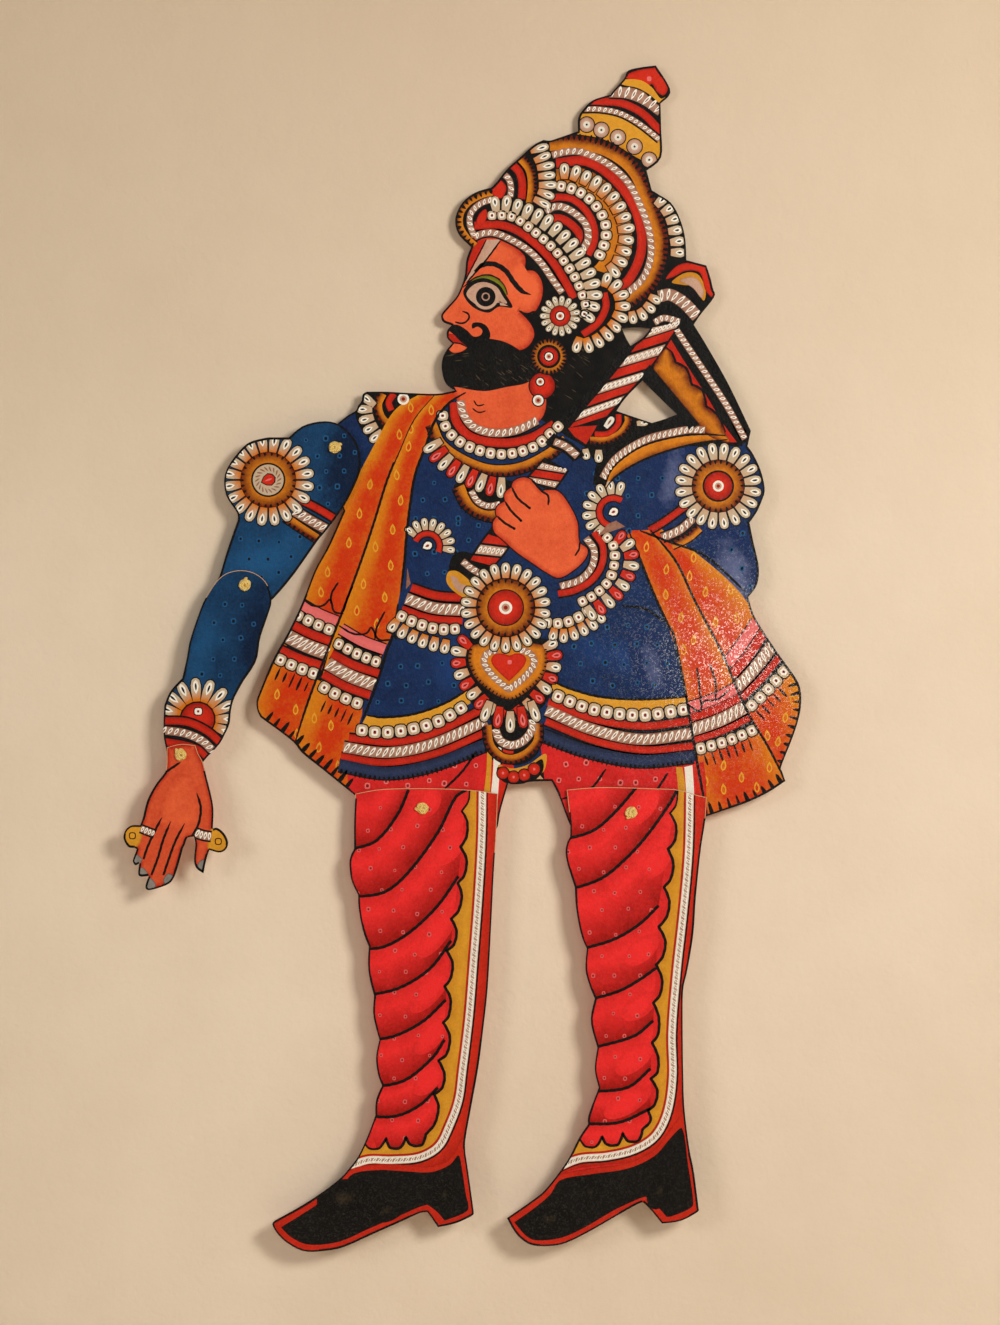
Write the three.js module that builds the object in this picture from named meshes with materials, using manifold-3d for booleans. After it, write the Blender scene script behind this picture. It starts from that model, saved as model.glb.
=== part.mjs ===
// A jointed shadow puppet: flat sheets of painted hide tied together with knotted cotton cord.
// Millimetres, +Z up. The figure stands in the XZ plane, its front looks along -Y, and the back of
// the body sheet lies on Y = 0, where it rests against a wall.
import * as THREE from 'three';
import * as BufferGeometryUtils from 'three/addons/utils/BufferGeometryUtils.js';
import Module from 'manifold-3d';

const wasm = await Module();
wasm.setup();

// Driving dimensions
const HIDE = 0.8; // thickness of every sheet
const EDGE_STEPS = 3; // straight steps between two points of an outline
const CORD_R = 1.2; // cotton cord through a joint
const HOLE_R = 1.6; // hole punched for the cord
const SLACK = 0.15; // a knot stands this far off the hide
const FRONT_KNOT = { r: 4.4, height: 1.3 };
const BACK_KNOT = { r: 4.0, height: 1.0 };
const DIMPLE = { r: 7, depth: 0.15 }; // the hide drawn in round each knot at the wall side
const KNOT_SIDES = 28;

// Distance of each sheet's back from the wall plane. A limb on a further layer passes over the rest.
const LAYER = { body: 0, front_leg: 1.3, upper_arm: 2.4, rear_leg: 2.6, forearm: 3.6, hand: 5.2 };

// Where the cords run, as [x, z]
const JOINT = {
  shoulder: [-124.5, 99.5],
  elbow: [-192, -4],
  wrist: [-240, -131.5],
  front_hip: [-58.5, -172],
  rear_hip: [98.5, -175],
};

const COLOUR = { hide: 0x3a2318, cord: 0xe6c98c };

// Outlines as strokes of points: a smooth curve runs through each stroke, and two strokes meet in a corner.

// Crown, face, shoulder, left scarf, skirt, thigh ends, right scarf, bent arm and axe, in one sheet
const BODY_OUTLINE =
[
  [
    [117, 387], [105, 385.5], [96, 383], [93, 377], [85, 368], [83, 365],
  ],
  [
    [83, 365], [70, 361], [62, 353.5], [58.5, 347], [58.5, 337.5],
  ],
  [
    [58.5, 337.5], [44, 332.5], [37.5, 330.5], [32.5, 331],
  ],
  [
    [32.5, 331], [25, 327], [15, 318], [5, 309], [-3, 299], [-7, 295],
  ],
  [
    [-7, 295], [-17.5, 292], [-26.5, 286], [-32, 278], [-34, 269], [-31, 259.5], [-22, 250.5],
  ],
  [
    [-22, 250.5], [-25.5, 241], [-26.5, 231], [-28.5, 223], [-33, 213], [-41, 204], [-44.5, 199],
    [-43, 194], [-36.5, 191.5],
  ],
  [
    [-36.5, 191.5], [-40, 187.5], [-40, 182], [-36, 178],
  ],
  [
    [-36, 178], [-41, 172], [-44, 164], [-43.5, 154.5], [-40.5, 147], [-34, 142.5],
  ],
  [
    [-34, 142.5], [-47, 140], [-68, 140.5], [-86, 141.5], [-100.5, 141.5],
  ],
  [
    [-100.5, 141.5], [-103.5, 139.5], [-104.5, 134.5], [-107, 131], [-109, 127], [-115, 123.5],
    [-123, 117], [-135, 107], [-141, 94], [-135, 79], [-124, 64], [-118, 52],
  ],
  [
    [-118, 52], [-130, 25], [-139.5, 7.5], [-147, -12], [-153, -26], [-160.5, -41], [-171.5, -61],
    [-181, -84],
  ],
  [
    [-181, -84], [-183.5, -91], [-183, -98], [-180.5, -103.5],
  ],
  [
    [-180.5, -103.5], [-157, -121], [-149, -130.5], [-134, -142.5], [-118.5, -155], [-108.5, -163],
  ],
  [
    [-108.5, -163], [-108, -184.5], [-100.5, -196.5], [-75, -202.5], [-37.5, -202.5], [-13.5, -197],
    [-3, -188], [0, -174], [6, -153],
  ],
  [
    [6, -153], [9.5, -154], [17, -153.5], [22.5, -152], [38.5, -151.5],
  ],
  [
    [38.5, -151.5], [44, -162.5], [49.5, -177.5], [53, -186],
  ],
  [
    [53, -186], [57, -193.5], [75, -199.5], [105, -201], [135, -197], [148, -191], [153, -184.5],
    [155, -178],
  ],
  [
    [155, -178], [173, -172], [187, -167], [201.5, -160], [214.5, -151.5],
  ],
  [
    [214.5, -151.5], [212, -144], [211.5, -140], [220, -118.5], [225, -102.5], [226.5, -89.5],
    [224.5, -78], [216, -65], [206, -51], [191.5, -28], [186.5, -13],
  ],
  [
    [186.5, -13], [193, -4], [194.5, 9.5], [190.5, 28], [187.5, 43],
  ],
  [
    [187.5, 43], [193, 51], [196.5, 59], [199, 68], [196, 82], [190.5, 94], [186, 100.5],
  ],
  [
    [186, 100.5], [188.5, 112],
  ],
  [
    [188.5, 112], [172, 146.5], [156.5, 174], [145.5, 192],
  ],
  [
    [145.5, 192], [151, 200], [161, 213], [160, 219], [158, 227.5], [155, 236.5],
  ],
  [
    [155, 236.5], [140, 240.5],
  ],
  [
    [140, 240.5], [139, 257.5], [135, 272], [128.5, 283.5], [119, 290], [114, 293],
  ],
  [
    [114, 293], [110, 308],
  ],
  [
    [110, 308], [121, 318], [121, 339], [120.5, 358.5],
  ],
  [
    [120.5, 358.5], [128, 368], [117, 387],
  ],
];

// Daylight gaps of the body sheet: between crown, axe shaft and blade, and under the crown
const BODY_GAPS = [
[
  [
    [107, 150], [120, 137], [133, 124.5],
  ],
  [
    [133, 124.5], [124, 121], [114, 118],
  ],
  [
    [114, 118], [100.5, 122.5], [87.5, 127],
  ],
  [
    [87.5, 127], [92, 134], [97.5, 140.5],
  ],
  [
    [97.5, 140.5], [102, 145], [107, 150],
  ],
],
[
  [
    [91.5, 189], [103, 190], [113, 189],
  ],
  [
    [113, 189], [107, 182], [98, 176],
  ],
  [
    [98, 176], [94.5, 182], [91.5, 189],
  ],
],
];

const UPPER_ARM_OUTLINE =
[
  [
    [-159, 107], [-148.5, 115.5], [-134.5, 119], [-123, 117.5], [-113, 110], [-106.5, 99.5],
    [-105, 84], [-109, 72], [-116, 58], [-124, 46], [-133, 34.5], [-138, 28.5], [-156, 3],
    [-172, -15.5], [-180, -20], [-195, -22], [-208.5, -15],
  ],
  [
    [-208.5, -15], [-212.5, -2], [-210.5, 4.5], [-205, 23], [-197.5, 44.5],
  ],
  [
    [-197.5, 44.5], [-198, 50.5], [-206, 63], [-207.5, 76.5], [-203.5, 87], [-194.5, 98.5],
    [-187, 104], [-174.5, 107],
  ],
  [
    [-174.5, 107], [-159, 107],
  ],
];

const FOREARM_OUTLINE =
[
  [
    [-220.5, -12], [-213, -1], [-205, 5], [-194.5, 7], [-184, 4.5], [-175.5, -3], [-172, -15.5],
    [-174.5, -26], [-180.5, -44], [-183.5, -61], [-193, -76],
  ],
  [
    [-193, -76], [-200, -89], [-202.5, -98.5], [-203.5, -108], [-207, -116], [-211.5, -124],
    [-220, -133], [-223, -136.5], [-228, -142.5], [-238, -146], [-246, -144], [-250, -136.5],
    [-251, -128], [-253, -117.5], [-253, -105], [-252.5, -94.5],
  ],
  [
    [-252.5, -94.5], [-248, -84], [-239, -74],
  ],
  [
    [-239, -74], [-235.5, -58.5], [-233, -45], [-225, -21.5], [-220.5, -12],
  ],
];

const HAND_OUTLINE =
[
  [
    [-250.5, -126], [-239.5, -123.5], [-229, -124.5],
  ],
  [
    [-229, -124.5], [-227, -130.5], [-223.5, -137], [-220.5, -149], [-217, -163], [-215.5, -173],
    [-216, -187],
  ],
  [
    [-216, -187], [-212.5, -186.5], [-207.5, -190.5], [-204.5, -197], [-206, -202.5], [-211, -205],
    [-218.5, -203],
  ],
  [
    [-218.5, -203], [-220.5, -209], [-223, -220.5],
  ],
  [
    [-223, -220.5], [-228, -217], [-230, -211], [-229, -199], [-230, -193],
  ],
  [
    [-230, -193], [-235, -194], [-237, -199], [-238.5, -202.5], [-242, -215], [-245.5, -224.5],
    [-250, -229], [-260, -232.5], [-265, -233], [-266.5, -230], [-264, -222.5],
  ],
  [
    [-264, -222.5], [-270, -223], [-272, -220.5], [-271, -213],
  ],
  [
    [-271, -213], [-274, -214.5], [-276, -211.5], [-275, -208], [-273, -202.5],
  ],
  [
    [-273, -202.5], [-275, -201.5], [-279, -201], [-282, -197], [-283, -192.5], [-281, -187.5],
    [-276.5, -184.5], [-270.5, -184.5],
  ],
  [
    [-270.5, -184.5], [-268.5, -179], [-265, -165.5], [-258.5, -153.5], [-252, -145], [-250.5, -139],
    [-250.5, -126],
  ],
];

const FRONT_LEG_OUTLINE =
[
  [
    [-109, -161], [-93, -158], [-76, -157], [-47, -157], [-18.5, -158.5], [-2, -161],
  ],
  [
    [-2, -161], [-3, -189], [-5, -221], [-7, -261.5], [-9.5, -307], [-13, -339], [-16.5, -366.5],
    [-22, -397], [-26, -419], [-26.5, -429], [-25, -440], [-22, -461], [-20, -476],
  ],
  [
    [-20, -476], [-21.5, -478.5], [-33.5, -484], [-47, -487],
  ],
  [
    [-47, -487], [-52, -479.5], [-55, -475.5],
  ],
  [
    [-55, -475.5], [-61, -476.5], [-73, -482], [-95.5, -492], [-118, -502], [-134, -505], [-148, -505],
    [-160, -499], [-167.5, -492], [-171.5, -485], [-169.5, -482],
  ],
  [
    [-169.5, -482], [-145.5, -468.5], [-123.5, -453], [-113, -442], [-106.5, -433], [-100, -419],
    [-94, -403],
  ],
  [
    [-94, -403], [-93.5, -391.5], [-89, -380.5],
  ],
  [
    [-89, -380.5], [-92, -372], [-93.5, -359.5], [-91, -346],
  ],
  [
    [-91, -346], [-95.5, -328], [-95, -313],
  ],
  [
    [-95, -313], [-98, -301.5], [-99.5, -290], [-99, -276],
  ],
  [
    [-99, -276], [-103.5, -263.5], [-106.5, -247.5], [-107, -237],
  ],
  [
    [-107, -237], [-112, -226], [-113.5, -214], [-112.5, -207.5], [-110, -202.5],
  ],
  [
    [-110, -202.5], [-110, -183], [-109, -161],
  ],
];

const REAR_LEG_OUTLINE =
[
  [
    [50, -158], [76, -156], [116, -157], [133.5, -158], [148, -162], [155, -163.5],
  ],
  [
    [155, -163.5], [154, -181], [150.5, -204], [147, -238.5], [145, -267], [140.5, -294],
    [137.5, -307.5], [137, -329], [137.5, -374], [138.5, -399], [142, -427.5], [145.5, -445],
    [149, -472.5],
  ],
  [
    [149, -472.5], [148, -475.5], [135.5, -482], [121.5, -484],
  ],
  [
    [121.5, -484], [115, -476], [109.5, -470], [107, -468],
  ],
  [
    [107, -468], [102, -470], [86, -479], [65, -491], [48, -499], [34.5, -501], [23, -500], [15, -495],
    [10, -489], [5, -480],
  ],
  [
    [5, -480], [23, -467.5], [34.5, -458], [50, -437.5], [59, -420], [66, -409.5],
  ],
  [
    [66, -409.5], [66.5, -402], [74, -382],
  ],
  [
    [74, -382], [71, -368], [73, -352],
  ],
  [
    [73, -352], [68, -332], [71, -315],
  ],
  [
    [71, -315], [67, -305], [64, -293], [65, -277.5],
  ],
  [
    [65, -277.5], [60.5, -266], [57, -247.5], [56, -231.5],
  ],
  [
    [56, -231.5], [50.5, -214], [49, -204], [50.5, -197], [52.5, -193.5],
  ],
  [
    [52.5, -193.5], [52.5, -183], [50, -158],
  ],
];

// A closed path through an outline's strokes, on a Shape or a Path
function tracePath(path, strokes) {
  path.moveTo(...strokes[0][0]);
  for (const stroke of strokes) {
    const rest = stroke.slice(1).map(([x, z]) => new THREE.Vector2(x, z));
    if (rest.length === 1) {
      path.lineTo(rest[0].x, rest[0].y);
    } else {
      path.splineThru(rest);
    }
  }
  return path;
}

function roundHole([x, z], radius) {
  const hole = new THREE.Path();
  hole.absarc(x, z, radius, 0, Math.PI * 2);
  return hole;
}

// One flat sheet: the outline lies in the XZ plane and its thickness runs from the sheet's back to -Y
function sheetGeometry(strokes, gaps, cordHoles, back) {
  const shape = tracePath(new THREE.Shape(), strokes);
  for (const gap of gaps) {
    shape.holes.push(tracePath(new THREE.Path(), gap));
  }
  for (const at of cordHoles) {
    shape.holes.push(roundHole(at, HOLE_R));
  }
  const options = { depth: HIDE, bevelEnabled: false, curveSegments: EDGE_STEPS };
  const geometry = new THREE.ExtrudeGeometry(shape, options);
  geometry.rotateX(Math.PI / 2);
  geometry.translate(0, -back, 0);
  return geometry;
}

function toSolid(geometry) {
  const bare = geometry.clone();
  bare.deleteAttribute('normal');
  bare.deleteAttribute('uv');
  const merged = BufferGeometryUtils.mergeVertices(bare, 1e-4);
  const vertProperties = new Float32Array(merged.attributes.position.array);
  const triVerts = new Uint32Array(merged.index.array);
  return new wasm.Manifold(new wasm.Mesh({ numProp: 3, vertProperties, triVerts }));
}

function toGeometry(solid) {
  const mesh = solid.getMesh();
  const geometry = new THREE.BufferGeometry();
  geometry.setAttribute('position', new THREE.BufferAttribute(mesh.vertProperties, 3));
  geometry.setIndex(new THREE.BufferAttribute(mesh.triVerts, 1));
  geometry.computeVertexNormals();
  return geometry;
}

// Takes a shallow round dimple out of the sheet's wall side at each joint
function dimpled(geometry, places) {
  let solid = toSolid(geometry);
  for (const [x, z] of places) {
    const cutter = new THREE.CylinderGeometry(DIMPLE.r, DIMPLE.r, 2 * DIMPLE.depth, 2 * KNOT_SIDES);
    cutter.translate(x, 0, z);
    solid = solid.subtract(toSolid(cutter));
  }
  return toGeometry(solid);
}

// One cotton cord: a knot in front of the front sheet, the cord through both holes, a knot behind the back sheet
function knotGeometry([x, z], frontLayer, backLayer) {
  const front = -(LAYER[frontLayer] + HIDE + SLACK);
  const back = -LAYER[backLayer] + SLACK;
  const { r: fr, height: fh } = FRONT_KNOT;
  const { r: br, height: bh } = BACK_KNOT;
  const profile = [
    [0, front - fh],
    [0.45 * fr, front - 0.92 * fh],
    [0.8 * fr, front - 0.68 * fh],
    [fr, front - 0.32 * fh],
    [0.9 * fr, front],
    [CORD_R, front],
    [CORD_R, back],
    [0.9 * br, back],
    [br, back + 0.32 * bh],
    [0.8 * br, back + 0.7 * bh],
    [0, back + bh],
  ].map(([radius, y]) => new THREE.Vector2(radius, y));
  const geometry = new THREE.LatheGeometry(profile, KNOT_SIDES);
  geometry.translate(x, 0, z);
  return geometry;
}

const hide = new THREE.MeshStandardMaterial({ color: COLOUR.hide, roughness: 0.5, metalness: 0 });
const cord = new THREE.MeshStandardMaterial({ color: COLOUR.cord, roughness: 0.9, metalness: 0 });

const puppet = new THREE.Group();

function addPart(name, geometry, material) {
  const mesh = new THREE.Mesh(geometry, material);
  mesh.name = name;
  puppet.add(mesh);
}

const { shoulder, elbow, wrist, front_hip: frontHip, rear_hip: rearHip } = JOINT;
const bodyJoints = [shoulder, frontHip, rearHip];

const body = sheetGeometry(BODY_OUTLINE, BODY_GAPS, bodyJoints, LAYER.body);
addPart('body_sheet', dimpled(body, bodyJoints), hide);
addPart('upper_arm_sheet', sheetGeometry(UPPER_ARM_OUTLINE, [], [shoulder, elbow], LAYER.upper_arm), hide);
addPart('forearm_sheet', sheetGeometry(FOREARM_OUTLINE, [], [elbow, wrist], LAYER.forearm), hide);
addPart('hand_sheet', sheetGeometry(HAND_OUTLINE, [], [wrist], LAYER.hand), hide);
addPart('front_leg_sheet', sheetGeometry(FRONT_LEG_OUTLINE, [], [frontHip], LAYER.front_leg), hide);
addPart('rear_leg_sheet', sheetGeometry(REAR_LEG_OUTLINE, [], [rearHip], LAYER.rear_leg), hide);

addPart('shoulder_knot', knotGeometry(shoulder, 'upper_arm', 'body'), cord);
addPart('elbow_knot', knotGeometry(elbow, 'forearm', 'upper_arm'), cord);
addPart('wrist_knot', knotGeometry(wrist, 'hand', 'forearm'), cord);
addPart('front_hip_knot', knotGeometry(frontHip, 'front_leg', 'body'), cord);
addPart('rear_hip_knot', knotGeometry(rearHip, 'rear_leg', 'body'), cord);

export default puppet;
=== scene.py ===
# Blender model of a jointed shadow puppet of painted hide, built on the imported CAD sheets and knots.
import math
import random
import bpy
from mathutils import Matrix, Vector


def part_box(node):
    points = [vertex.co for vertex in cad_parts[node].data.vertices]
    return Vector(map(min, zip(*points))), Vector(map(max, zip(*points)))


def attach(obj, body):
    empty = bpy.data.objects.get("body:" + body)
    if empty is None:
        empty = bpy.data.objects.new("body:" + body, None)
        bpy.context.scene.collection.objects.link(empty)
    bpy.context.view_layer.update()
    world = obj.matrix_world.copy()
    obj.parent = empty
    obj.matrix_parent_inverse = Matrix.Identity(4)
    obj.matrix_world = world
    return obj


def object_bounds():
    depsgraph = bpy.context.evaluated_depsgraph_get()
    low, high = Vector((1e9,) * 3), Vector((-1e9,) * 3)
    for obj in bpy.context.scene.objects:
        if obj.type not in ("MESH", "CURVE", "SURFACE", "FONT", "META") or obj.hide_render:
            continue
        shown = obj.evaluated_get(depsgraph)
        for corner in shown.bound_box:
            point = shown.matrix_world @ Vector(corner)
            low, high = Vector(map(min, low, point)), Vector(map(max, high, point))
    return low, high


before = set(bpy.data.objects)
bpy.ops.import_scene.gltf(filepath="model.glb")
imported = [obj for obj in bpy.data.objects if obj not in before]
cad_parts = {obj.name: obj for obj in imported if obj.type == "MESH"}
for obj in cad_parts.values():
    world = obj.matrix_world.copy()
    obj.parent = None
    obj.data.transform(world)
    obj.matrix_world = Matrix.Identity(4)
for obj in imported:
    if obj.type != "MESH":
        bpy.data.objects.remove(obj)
cad_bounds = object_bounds()

# ---------------------------------------------------------------------------------------------
# Camera, wall, floor and lamps. The puppet hangs flat against a warm plaster wall. The wall lets
# itself be seen from its front only, so it never hides the back of the puppet.
MM = 0.001
VIEW_DISTANCE = 2.3
VIEW_SHARE = 1.114  # height of the view over the height of the puppet
AIM_ASIDE, AIM_DOWN = 28, 3  # how far the camera aims beside and below the middle, in mm
low, high = (Vector(corner) for corner in cad_bounds)
middle = (low + high) / 2
tall = high.z - low.z

camera = bpy.data.objects.new("camera", bpy.data.cameras.new("camera"))
bpy.context.scene.collection.objects.link(camera)
camera.data.sensor_fit = "VERTICAL"
camera.data.sensor_height = 36
camera.data.lens = 36 * VIEW_DISTANCE / (VIEW_SHARE * tall)
camera.location = (middle.x + AIM_ASIDE * MM, low.y - VIEW_DISTANCE, middle.z - AIM_DOWN * MM)
camera.rotation_euler = (math.pi / 2, 0, 0)
bpy.context.scene.camera = camera
bpy.context.scene.view_settings.view_transform = "Standard"


class Wire:
    """A shader value that is added, multiplied and so on as a number is."""

    def __init__(self, tree, socket):
        self.tree, self.socket = tree, socket

    def math(self, operation, first, second=0.0, clamp=False):
        node = self.tree.nodes.new("ShaderNodeMath")
        node.operation, node.use_clamp = operation, clamp
        for slot, value in zip(node.inputs, (first, second)):
            if isinstance(value, Wire):
                self.tree.links.new(value.socket, slot)
            else:
                slot.default_value = value
        return Wire(self.tree, node.outputs[0])

    def __add__(self, other):
        return self.math("ADD", self, other)

    def __radd__(self, other):
        return self.math("ADD", other, self)

    def __sub__(self, other):
        return self.math("SUBTRACT", self, other)

    def __rsub__(self, other):
        return self.math("SUBTRACT", other, self)

    def __mul__(self, other):
        return self.math("MULTIPLY", self, other)

    def __rmul__(self, other):
        return self.math("MULTIPLY", other, self)

    def over(self, low_end, high_end):
        """0 below low_end, 1 above high_end and even between them."""
        return self.math("MULTIPLY", self - low_end, 1 / (high_end - low_end), clamp=True)


class Finish:
    """A material under construction: add() makes any node, mix() blends two colours."""

    def __init__(self, name):
        self.material = bpy.data.materials.new(name)
        self.material.use_nodes = True
        self.tree = self.material.node_tree
        self.shader = self.tree.nodes["Principled BSDF"]
        self.place = self.add("TexCoord", output="Object")

    def add(self, kind, settings=None, output=0, **values):
        node = self.tree.nodes.new("ShaderNode" + kind)
        for key, value in (settings or {}).items():
            setattr(node, key, value)
        for key, value in values.items():
            self.set(node.inputs[key.replace("_", " ")], value)
        return Wire(self.tree, node.outputs[output])

    def set(self, socket, value):
        if isinstance(value, Wire):
            self.tree.links.new(value.socket, socket)
        else:
            socket.default_value = value

    def noise(self, scale, detail=3.0, roughness=0.55):
        return self.add("TexNoise", None, "Fac", Vector=self.place, Scale=scale, Detail=detail,
                        Roughness=roughness)

    def mix(self, share, first, second):
        node = self.tree.nodes.new("ShaderNodeMix")
        node.data_type = "RGBA"
        for index, value in ((0, share), (6, first), (7, second)):
            self.set(node.inputs[index], value)
        return Wire(self.tree, node.outputs[2])

    def finish(self, colour, roughness, height=None, depth=0.0002, **fixed):
        self.set(self.shader.inputs["Base Color"], colour)
        self.set(self.shader.inputs["Roughness"], roughness)
        if height is not None:
            bump = self.add("Bump", None, "Normal", Height=height, Distance=depth, Strength=1.0)
            self.set(self.shader.inputs["Normal"], bump)
        for key, value in fixed.items():
            self.shader.inputs[key.replace("_", " ")].default_value = value
        return self.material


def rgb(red, green, blue):
    """A colour from its 0 to 255 screen values."""
    return tuple(((c / 255 + 0.055) / 1.055) ** 2.4 if c > 10 else c / 3294.6
                 for c in (red, green, blue)) + (1.0,)


def plaster(name, seen_from_behind):
    look = Finish(name)
    patches = look.noise(1.6, 2.0).over(0.3, 0.7)
    stains = look.noise(14, 5.0).over(0.35, 0.8)
    height = look.tree.nodes.new("ShaderNodeSeparateXYZ")
    look.set(height.inputs[0], look.place)
    # Painted shade: the plaster darkens towards the top, as if less lamp light reached it there.
    painted_top_shade = Wire(look.tree, height.outputs[2]).over(0.0, 0.6) * 0.75
    tone = look.mix(patches, rgb(222, 206, 184), rgb(232, 217, 197))
    tone = look.mix(stains * 0.22, tone, rgb(208, 188, 162))
    tone = look.mix(painted_top_shade, tone, rgb(190, 168, 140))
    material = look.finish(tone, 0.9, look.noise(220, 4.0) + look.noise(25, 3.0) * 3.0, 0.0004)
    if not seen_from_behind:
        side = look.add("NewGeometry", output="Backfacing")
        clear = look.add("BsdfTransparent", output="BSDF")
        mixer = look.tree.nodes.new("ShaderNodeMixShader")
        look.set(mixer.inputs[0], side)
        look.tree.links.new(look.shader.outputs[0], mixer.inputs[1])
        look.tree.links.new(clear.socket, mixer.inputs[2])
        look.tree.links.new(mixer.outputs[0], look.tree.nodes["Material Output"].inputs[0])
    return material


WALL_GAP = 10 * MM
WALL_LEAN = math.radians(0.85)  # the wall leans back a little, so the legs hang clear of it
bpy.ops.object.select_all(action="DESELECT")
bpy.ops.mesh.primitive_plane_add(size=1, rotation=(math.pi / 2 + WALL_LEAN, 0, 0),
    location=(middle.x, high.y + WALL_GAP - 0.5 * math.tan(WALL_LEAN), middle.z + 0.5))
wall = bpy.context.object
wall.name = "wall"
wall.scale = (7, 4, 1)
bpy.ops.object.transform_apply(location=True, rotation=True, scale=True)
wall.visible_shadow = False
wall.data.materials.append(plaster("wall_plaster", False))
bpy.ops.mesh.primitive_plane_add(size=8, location=(middle.x, middle.y, low.z - 0.35))
floor = bpy.context.object
floor.name = "floor"
bpy.ops.object.transform_apply(location=True, rotation=True, scale=True)
floor.data.materials.append(plaster("floor_plaster", True))


def lamp(name, place, size, power, colour):
    light = bpy.data.lights.new(name, "AREA")
    light.size, light.energy, light.color = size, power, colour
    holder = bpy.data.objects.new(name, light)
    holder.location = place
    holder.rotation_euler = (middle - Vector(place)).to_track_quat("-Z", "Y").to_euler()
    bpy.context.scene.collection.objects.link(holder)


lamp("key_lamp", (1.2, -1.6, 0.62), 0.55, 30, (1.0, 0.94, 0.86))
lamp("fill_lamp", (-2.6, -2.4, 0.6), 1.2, 24, (1.0, 0.96, 0.92))
lamp("glint_lamp", (0.36, -2.5, -0.05), 0.1, 2.2, (1.0, 0.94, 0.84))
lamp("back_lamp", (0.5, 2.6, 1.0), 2.0, 30, (1.0, 0.96, 0.92))
world = bpy.data.worlds.new("room")
world.use_nodes = True
world.node_tree.nodes["Background"].inputs[0].default_value = (1.0, 0.93, 0.84, 1.0)
world.node_tree.nodes["Background"].inputs[1].default_value = 0.2
bpy.context.scene.world = world

# ---------------------------------------------------------------------------------------------
# The sheets themselves: thin rawhide, scraped until it lets light through, inked black on both
# faces before any colour goes on. Their cut edges stay the brown of the hide.
def hide_finish():
    look = Finish("inked_hide")
    facing = look.add("NewGeometry", output="Normal")
    split = look.tree.nodes.new("ShaderNodeSeparateXYZ")
    look.set(split.inputs[0], facing)
    flat = Wire(look.tree, split.outputs[1])
    flat = (flat * flat).over(0.4, 0.6)
    edge = look.mix(look.noise(400), rgb(96, 62, 34), rgb(160, 116, 66))
    ink = look.mix(look.noise(90).over(0.4, 0.75), rgb(9, 8, 8), rgb(22, 20, 18))
    grain = look.noise(900, 3.0)
    rough = 0.3 + look.noise(150) * 0.3
    return look.finish(look.mix(flat, edge, ink), rough, grain, 0.00012, Specular_IOR_Level=0.12)


INKED_HIDE = hide_finish()
SHEETS = ("body_sheet", "upper_arm_sheet", "forearm_sheet", "hand_sheet", "front_leg_sheet",
    "rear_leg_sheet")
for sheet in SHEETS:
    for material_slot in bpy.data.objects[sheet].material_slots:
        material_slot.material = INKED_HIDE


# Each colour is a dye brushed on the hide: its deep tone where it lies thick, its light tone where it lies
# thin, and a slot name.
PIGMENTS = {
    "ink": ((9, 8, 8), (20, 18, 17), "paint_black"),
    "umber": ((13, 12, 11), (84, 70, 50), "paint_black"),
    "red": ((122, 14, 6), (206, 42, 20), "paint_red"),
    "crimson": ((150, 14, 6), (236, 44, 44), "paint_red"),
    "orange": ((198, 52, 4), (212, 138, 20), "paint_orange"),
    "gold": ((96, 22, 4), (214, 128, 24), "paint_gold"),
    "ochre": ((176, 108, 20), (220, 158, 44), "paint_gold"),
    "blue": ((9, 18, 46), (27, 60, 116), "paint_blue"),
    # Greyish lilac, used only for painted sheen highlights on the blue.
    "glow": ((19, 41, 87), (112, 122, 164), "paint_blue"),
    "sky": ((7, 28, 58), (26, 82, 130), "paint_blue"),
    "hem": ((22, 28, 52), (44, 56, 90), "paint_blue"),
    "cream": ((204, 112, 14), (192, 174, 148), "paint_white"),
    "rose": ((128, 78, 60), (196, 158, 136), "paint_white"),
    "white": ((214, 208, 194), (242, 238, 228), "paint_white"),
    "nail": ((70, 64, 60), (168, 162, 156), "paint_white"),
    "pink": ((196, 76, 82), (226, 112, 110), "paint_pink"),
    "skin": ((172, 30, 14), (232, 102, 58), "paint_skin"),
    "olive": ((90, 92, 14), (128, 130, 28), "paint_gold"),
    "raw": ((176, 130, 88), (206, 164, 122), "painted_hide")}


def pigment_finish(name, deep, light):
    look = Finish(name + "_paint")
    shade = look.add("Attribute", {"attribute_name": "shade"}, "Fac")
    clouds = look.noise(55, 4.0).over(0.25, 0.75)
    strokes = look.noise(420, 3.0).over(0.3, 0.7)
    amount = shade + (clouds - 0.5) * 0.34 + (strokes - 0.5) * 0.22
    colour = look.mix(amount.over(0.0, 1.0), rgb(*deep), rgb(*light))
    worn = look.noise(1300, 2.0).over(0.66, 0.8)
    colour = look.mix(worn * 0.3, colour, rgb(*(c * 0.45 for c in deep)))
    lifted = look.noise(700, 2.0).over(0.68, 0.85)
    colour = look.mix(lifted * 0.22, colour, rgb(*(c + (255 - c) * 0.4 for c in light)))
    grain = look.add("TexVoronoi", None, "Distance", Vector=look.place, Scale=620)
    height = grain * 0.6 + look.noise(1500, 2.0) * 0.5 + look.noise(45, 3.0) * 5.0
    rough = 0.3 + look.noise(120, 3.0) * 0.26 + strokes * 0.06
    grit = look.noise(750, 2.0).over(0.52, 0.64) * 0.75 + 0.03
    look.set(look.shader.inputs["Coat Weight"], grit)
    return look.finish(colour, rough, height, 0.0003, Specular_IOR_Level=0.1, Coat_Roughness=0.13)


PAINT = {name: pigment_finish(name, deep, light) for name, (deep, light, _) in PIGMENTS.items()}


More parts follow.
